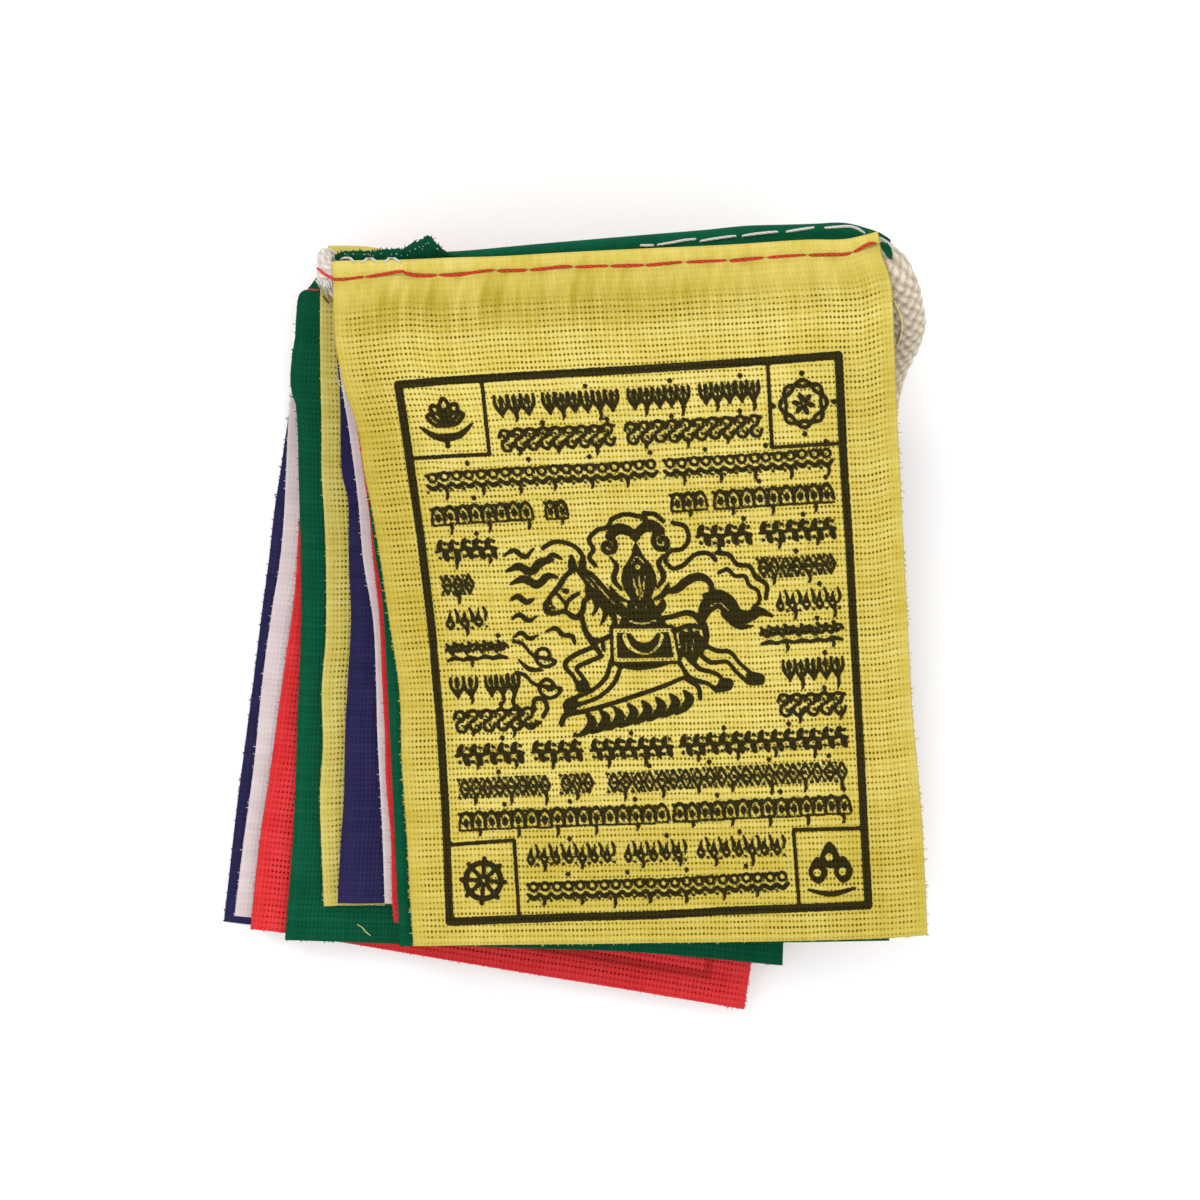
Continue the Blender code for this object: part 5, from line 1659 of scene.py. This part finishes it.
# the second flag's seam allowance: its raw edge turns out of the hem at the left and stands up in a corner
hz = [float(np.polyval(HEM_Z[2], u)) for u in (0.03, 0.06, 0.09, 0.12, 0.16, 0.2)]
flap, FLAP = patch(
    "allowance_02", 2, MAT["green"], "green_cotton",
    [(334.8, 256), (339, 252.8), (344, 251.4), (360, 250.9), (377, 251), (389, 249.3), (402, 249.2), (408.3, 246), (417.4, 241.3),
     (428.7, 236.2), (433.8, 241.3), (440, 247), (448, 253.9), (458, 254.6)],
    [(335.2, 258.5), (342, 263), (352, 265), (366, 265), (380, 264.6), (392, 264), (404, 263.6), (410, 263), (419, 262.5),
     (429, 262), (436, 261.5), (442, 261), (450, 260.4), (459, 260)],
    [hz[0] + 1.0, hz[1] + 1.05, hz[2] + 1.05, hz[3] + 1.05, hz[4] + 1.0, hz[5] + 0.98],
    [hz[0] + 1.1, hz[1] + 1.2, hz[2] + 1.3, hz[3] + 1.9, hz[4] + 2.3, hz[5] + 1.05], ragged=0.62)
# and the corner of its heading that lies over the cord at the right
hr2 = float(np.polyval(HEM_Z[2], 0.97))
ear, EAR = patch(
    "heading_corner_02", 2, MAT["green"], "green_cotton",
    [(880.8, 242.6), (883, 242.4), (887.5, 244.4), (891.3, 248.6), (892.6, 254), (891.6, 258.4)],
    [(880.8, 244.6), (881.8, 247.2), (883, 250), (885.2, 254), (887.4, 257), (890, 258.8)],
    [26.2, 27.2, 27.5, 27.3], [26.3, 27.3, 27.6, 27.3], n=26, m=6, ragged=0.75, seed=9)
over, OVER = patch(
    "heading_corner_02b", 2, MAT["green"], "green_cotton",
    [(872, 233.6), (879.7, 236.0), (886, 236.8), (889.4, 239), (890.2, 242.6), (890.0, 244.6)],
    [(872, 238), (880.0, 237.8), (884.5, 239.8), (887.4, 241.8), (889.0, 243.8), (889.9, 245.2)],
    [hr2 + 1.6, hr2 + 1.5, hr2 + 1.2, hr2 + 1.0], [hr2 + 1.4, hr2 + 1.4, hr2 + 1.2, hr2 + 1.0], n=26, m=5, ragged=0.25, seed=12)

loose_white = Strands()
for run_px in ([(340.5, 259.6), (344.5, 258.2), (350, 258.8), (354.5, 262.2)],
               [(361.5, 262.6), (366, 260.2), (372, 259.6), (378.5, 262.4)],
               [(384, 262.2), (389, 259.6), (394.5, 259.4), (400.5, 262.0)]):
    laid(loose_white, run_px, [0.10, 0.17, 0.17, 0.10], 0.12, 8)
laid(loose_white, [(880.0, 237.6), (885.5, 241.0), (889.2, 244.4), (891.8, 248.0)], 0.12, 0.06, 6)
laid(loose_white, [(336.5, 376.5), (339.2, 381), (340.2, 385), (342.5, 387.7)], [0.05, 0.08, 0.04], 0.06)
# unlaid ends of the cord's yarns at its left bend
for run_px, wide_ in (([(322.4, 279), (321.4, 286), (321.9, 295.4)], 0.13), ([(324.2, 279), (326.0, 290), (328.9, 300.8)], 0.17),
                      ([(323.6, 281), (324.4, 287), (323.2, 292.4)], 0.09), ([(327.6, 280), (329.4, 286), (331.8, 292.0)], 0.12),
                      ([(325.6, 279), (327.6, 288), (328.2, 296)], 0.12), ([(329.4, 279), (331.4, 283), (332.6, 288)], 0.11)):
    laid(loose_white, run_px, [wide_, wide_ * 0.9, wide_ * 0.35], 0.16, 8)
r = np.random.RandomState(77)
for x, y in ([(353.7, 254.6), (365.4, 254.6), (391.4, 254.6), (426, 243.9), (422.5, 249), (345, 254), (438, 249.5), (410, 251)]
             + [(r.uniform(338, 446), 0.0) for _ in range(16)]):
    if y == 0.0:
        y = 253.2 + r.uniform(-1.2, 3.0) - 9.5 * float(bell(x - 428, 12.0))
    a = r.uniform(0, math.pi)
    dx, dy = math.cos(a) * r.uniform(0.4, 0.9), math.sin(a) * r.uniform(0.4, 0.9)
    laid(loose_white, [(x - dx, y - dy), (x + dx, y + dy)], 0.045, 0.05, 5)
loose_white_ob = loose_white.make("threads_white", M_WHITE, "white_cord", 0.7)

loose_red = Strands()
laid(loose_red, [(317.6, 268.4), (320, 270.4), (323, 273.2), (327.7, 275.9), (331, 277.6), (334.6, 279.3)], [0.14, 0.17, 0.18, 0.18], 0.10, 8)
loose_red_ob = loose_red.make("threads_red", thread("red_thread_2", lin(196, 30, 44), lin(240, 70, 84)), "red_cotton", 0.9)

loose_brown = Strands()
laid(loose_brown, [(308.0, 289.3), (313, 289.7), (318.6, 290.4)], 0.16, 0.07, 8)
laid(loose_brown, [(322.9, 296.3), (325.4, 299.0), (328.8, 303.6)], [0.10, 0.14, 0.08], 0.10)
zc = FLAP[0, :, 2].max() - 0.1
loose_brown.tube(np.array([(*at(x, y, zc), zc) for x, y in ((432.4, 240.6), (434.4, 238.4), (436.6, 237.4))]), [0.05, 0.05, 0.03], 5, 0.1)
loose_brown_ob = loose_brown.make("threads_brown", M_BROWN, "red_cotton", 1.1)

loose_yellow = Strands()
laid(loose_yellow, [(893.6, 300), (896.6, 307), (899.8, 315), (901.6, 326), (900.2, 337), (897.6, 343.5), (896.2, 346)], [0.09, 0.13, 0.13, 0.10], 0.14, 8)
laid(loose_yellow, [(357, 924.4), (362, 927.2), (366, 931.8), (371, 935.8)], [0.05, 0.08, 0.05], 0.06)
laid(loose_yellow, [(338, 904.6), (352, 904.9), (370, 904.5), (385, 904.8)], 0.07, 0.05)
loose_yellow_ob = loose_yellow.make("threads_yellow", thread("yellow_thread_2", lin(214, 200, 120), lin(244, 236, 172)), "yellow_cotton", 1.3)


def fray(number, color, side, amount, reach, seed, v0=0.0, v1=1.0):
    """Short weft ends along one side of a flag."""
    r = np.random.RandomState(seed)
    st = Strands()
    P, s = flags[number]["P"], flags[number]["s"]
    rows = np.nonzero((s >= 1.0) & ~flags[number]["under"])[0]
    lineP = P[rows]
    if side == "left":
        e, inn = lineP[:, 0], lineP[:, 1]
    elif side == "right":
        e, inn = lineP[:, -1], lineP[:, -2]
    else:
        e, inn = P[-1, :], P[-2, :]
    L = length_of(e)
    for _ in range(amount):
        q = r.uniform(v0, v1) * L[-1]
        p = np.array([np.interp(q, L, e[:, k]) for k in range(3)])
        i = np.array([np.interp(q, L, inn[:, k]) for k in range(3)])
        d = p - i
        d /= np.linalg.norm(d)
        tang = np.array([np.interp(min(q + 0.5, L[-1]), L, e[:, k]) for k in range(3)]) - np.array([np.interp(max(q - 0.5, 0), L, e[:, k]) for k in range(3)])
        tang /= np.linalg.norm(tang)
        n = reach * r.gamma(2.0, 0.4)
        n = min(n, reach * 2.6)
        z = r.uniform(-0.08, 0.10)
        bend = r.normal(0, 0.28) * n
        pts = [p - d * 0.35 + (0, 0, z), p + d * n * 0.5 + tang * bend * 0.35 + (0, 0, z), p + d * n + tang * bend + (0, 0, z + r.uniform(-0.12, 0.04))]
        pts = np.array(pts)
        pts[:, 2] = np.maximum(pts[:, 2], 0.05)
        st.tube(pts, [0.062, 0.055, 0.03], 4, 0.3)
    return st.make("fray_%02d_%s" % (number, side), color, NODES[number].split("_")[-1] + "_cotton", seed * 0.37)


def edge_fray(name, P, mat, slot, amount, reach, seed):
    """Short ends along the raw upper edge of a strip."""
    r = np.random.RandomState(seed)
    st = Strands()
    L = length_of(P[0])
    for _ in range(amount):
        q = r.uniform(0.0, 1.0) * L[-1]
        p = np.array([np.interp(q, L, P[0, :, k]) for k in range(3)])
        i = np.array([np.interp(q, L, P[1, :, k]) for k in range(3)])
        d = (p - i) / max(1e-6, np.linalg.norm(p - i))
        n = reach * min(2.4, r.gamma(2.0, 0.5))
        side = r.normal(0, 0.45) * n
        st.tube(np.array([p - d * 0.3, p + d * n * 0.5 + (side * 0.4, 0, 0.02), p + d * n + (side, 0, r.uniform(-0.1, 0.1))]), [0.07, 0.06, 0.03], 4, 0.25)
    return st.make(name, mat, slot, seed * 0.21)


fray_pieces = [
    edge_fray("fray_allowance_02", FLAP, M_GREEN, "green_cotton", 110, 0.14, 71),
    fray(1, M_YELLOW, "right", 300, 0.22, 51),
    fray(1, M_YELLOW, "left", 260, 0.15, 52),
    fray(1, M_YELLOW, "foot", 130, 0.10, 53),
    fray(2, M_GREEN, "left", 60, 0.14, 54, 0.3, 1.0),
    fray(6, M_YELLOW, "left", 120, 0.14, 56),
    fray(7, M_GREEN, "left", 160, 0.17, 57),
    fray(7, M_GREEN, "foot", 100, 0.10, 58),
    fray(8, M_FRED, "left", 90, 0.16, 59, 0.3, 1.0),
    fray(8, M_FRED, "foot", 110, 0.12, 60),
    fray(8, M_FRED, "right", 60, 0.18, 61, 0.6, 1.0),
    fray(9, M_FWHITE, "left", 130, 0.16, 62, 0.1, 1.0),
    fray(10, M_BLUE, "left", 130, 0.16, 63, 0.1, 1.0),
    fray(4, M_FWHITE, "left", 110, 0.14, 64, 0.1, 1.0),
    fray(5, M_BLUE, "left", 100, 0.14, 65, 0.1, 1.0),
    fray(3, M_FRED, "left", 80, 0.14, 66, 0.2, 1.0),
]


# ----------------------------------------------------------------- floor and light

floor_me = bpy.data.meshes.new("floor")
floor_me.from_pydata([(-3, -3, 0), (3, -3, 0), (3, 3, 0), (-3, 3, 0)], [], [(0, 1, 2, 3)])
floor = bpy.data.objects.new("floor", floor_me)
floor.location.z = -0.00002
bpy.context.scene.collection.objects.link(floor)
g = Graph("floor")
g.bsdf.inputs["Base Color"].default_value = (0.93, 0.93, 0.93, 1)
g.bsdf.inputs["Roughness"].default_value = 0.9
g.bsdf.inputs["Specular IOR Level"].default_value = 0.0
floor_me.materials.append(g.mat)

world = bpy.data.worlds.new("world")
bpy.context.scene.world = world
world.use_nodes = True
bg = world.node_tree.nodes["Background"]
bg.inputs[0].default_value = (1.0, 1.0, 1.0, 1.0)
bg.inputs[1].default_value = 1.15


def area(name, place, target, size, power):
    d = bpy.data.lights.new(name, "AREA")
    d.shape, d.size, d.energy = "DISK", size, power
    o = bpy.data.objects.new(name, d)
    o.location = place
    o.rotation_mode = "QUATERNION"
    o.rotation_quaternion = (Vector(target) - Vector(place)).to_track_quat("-Z", "Y")
    bpy.context.scene.collection.objects.link(o)


area("key", (-0.35, 0.75, 0.95), (0, 0, 0), 0.9, 4.8)
area("fill", (0.25, -0.85, 0.8), (0, 0, 0), 0.9, 3.4)

bpy.context.scene.view_settings.view_transform = "Standard"
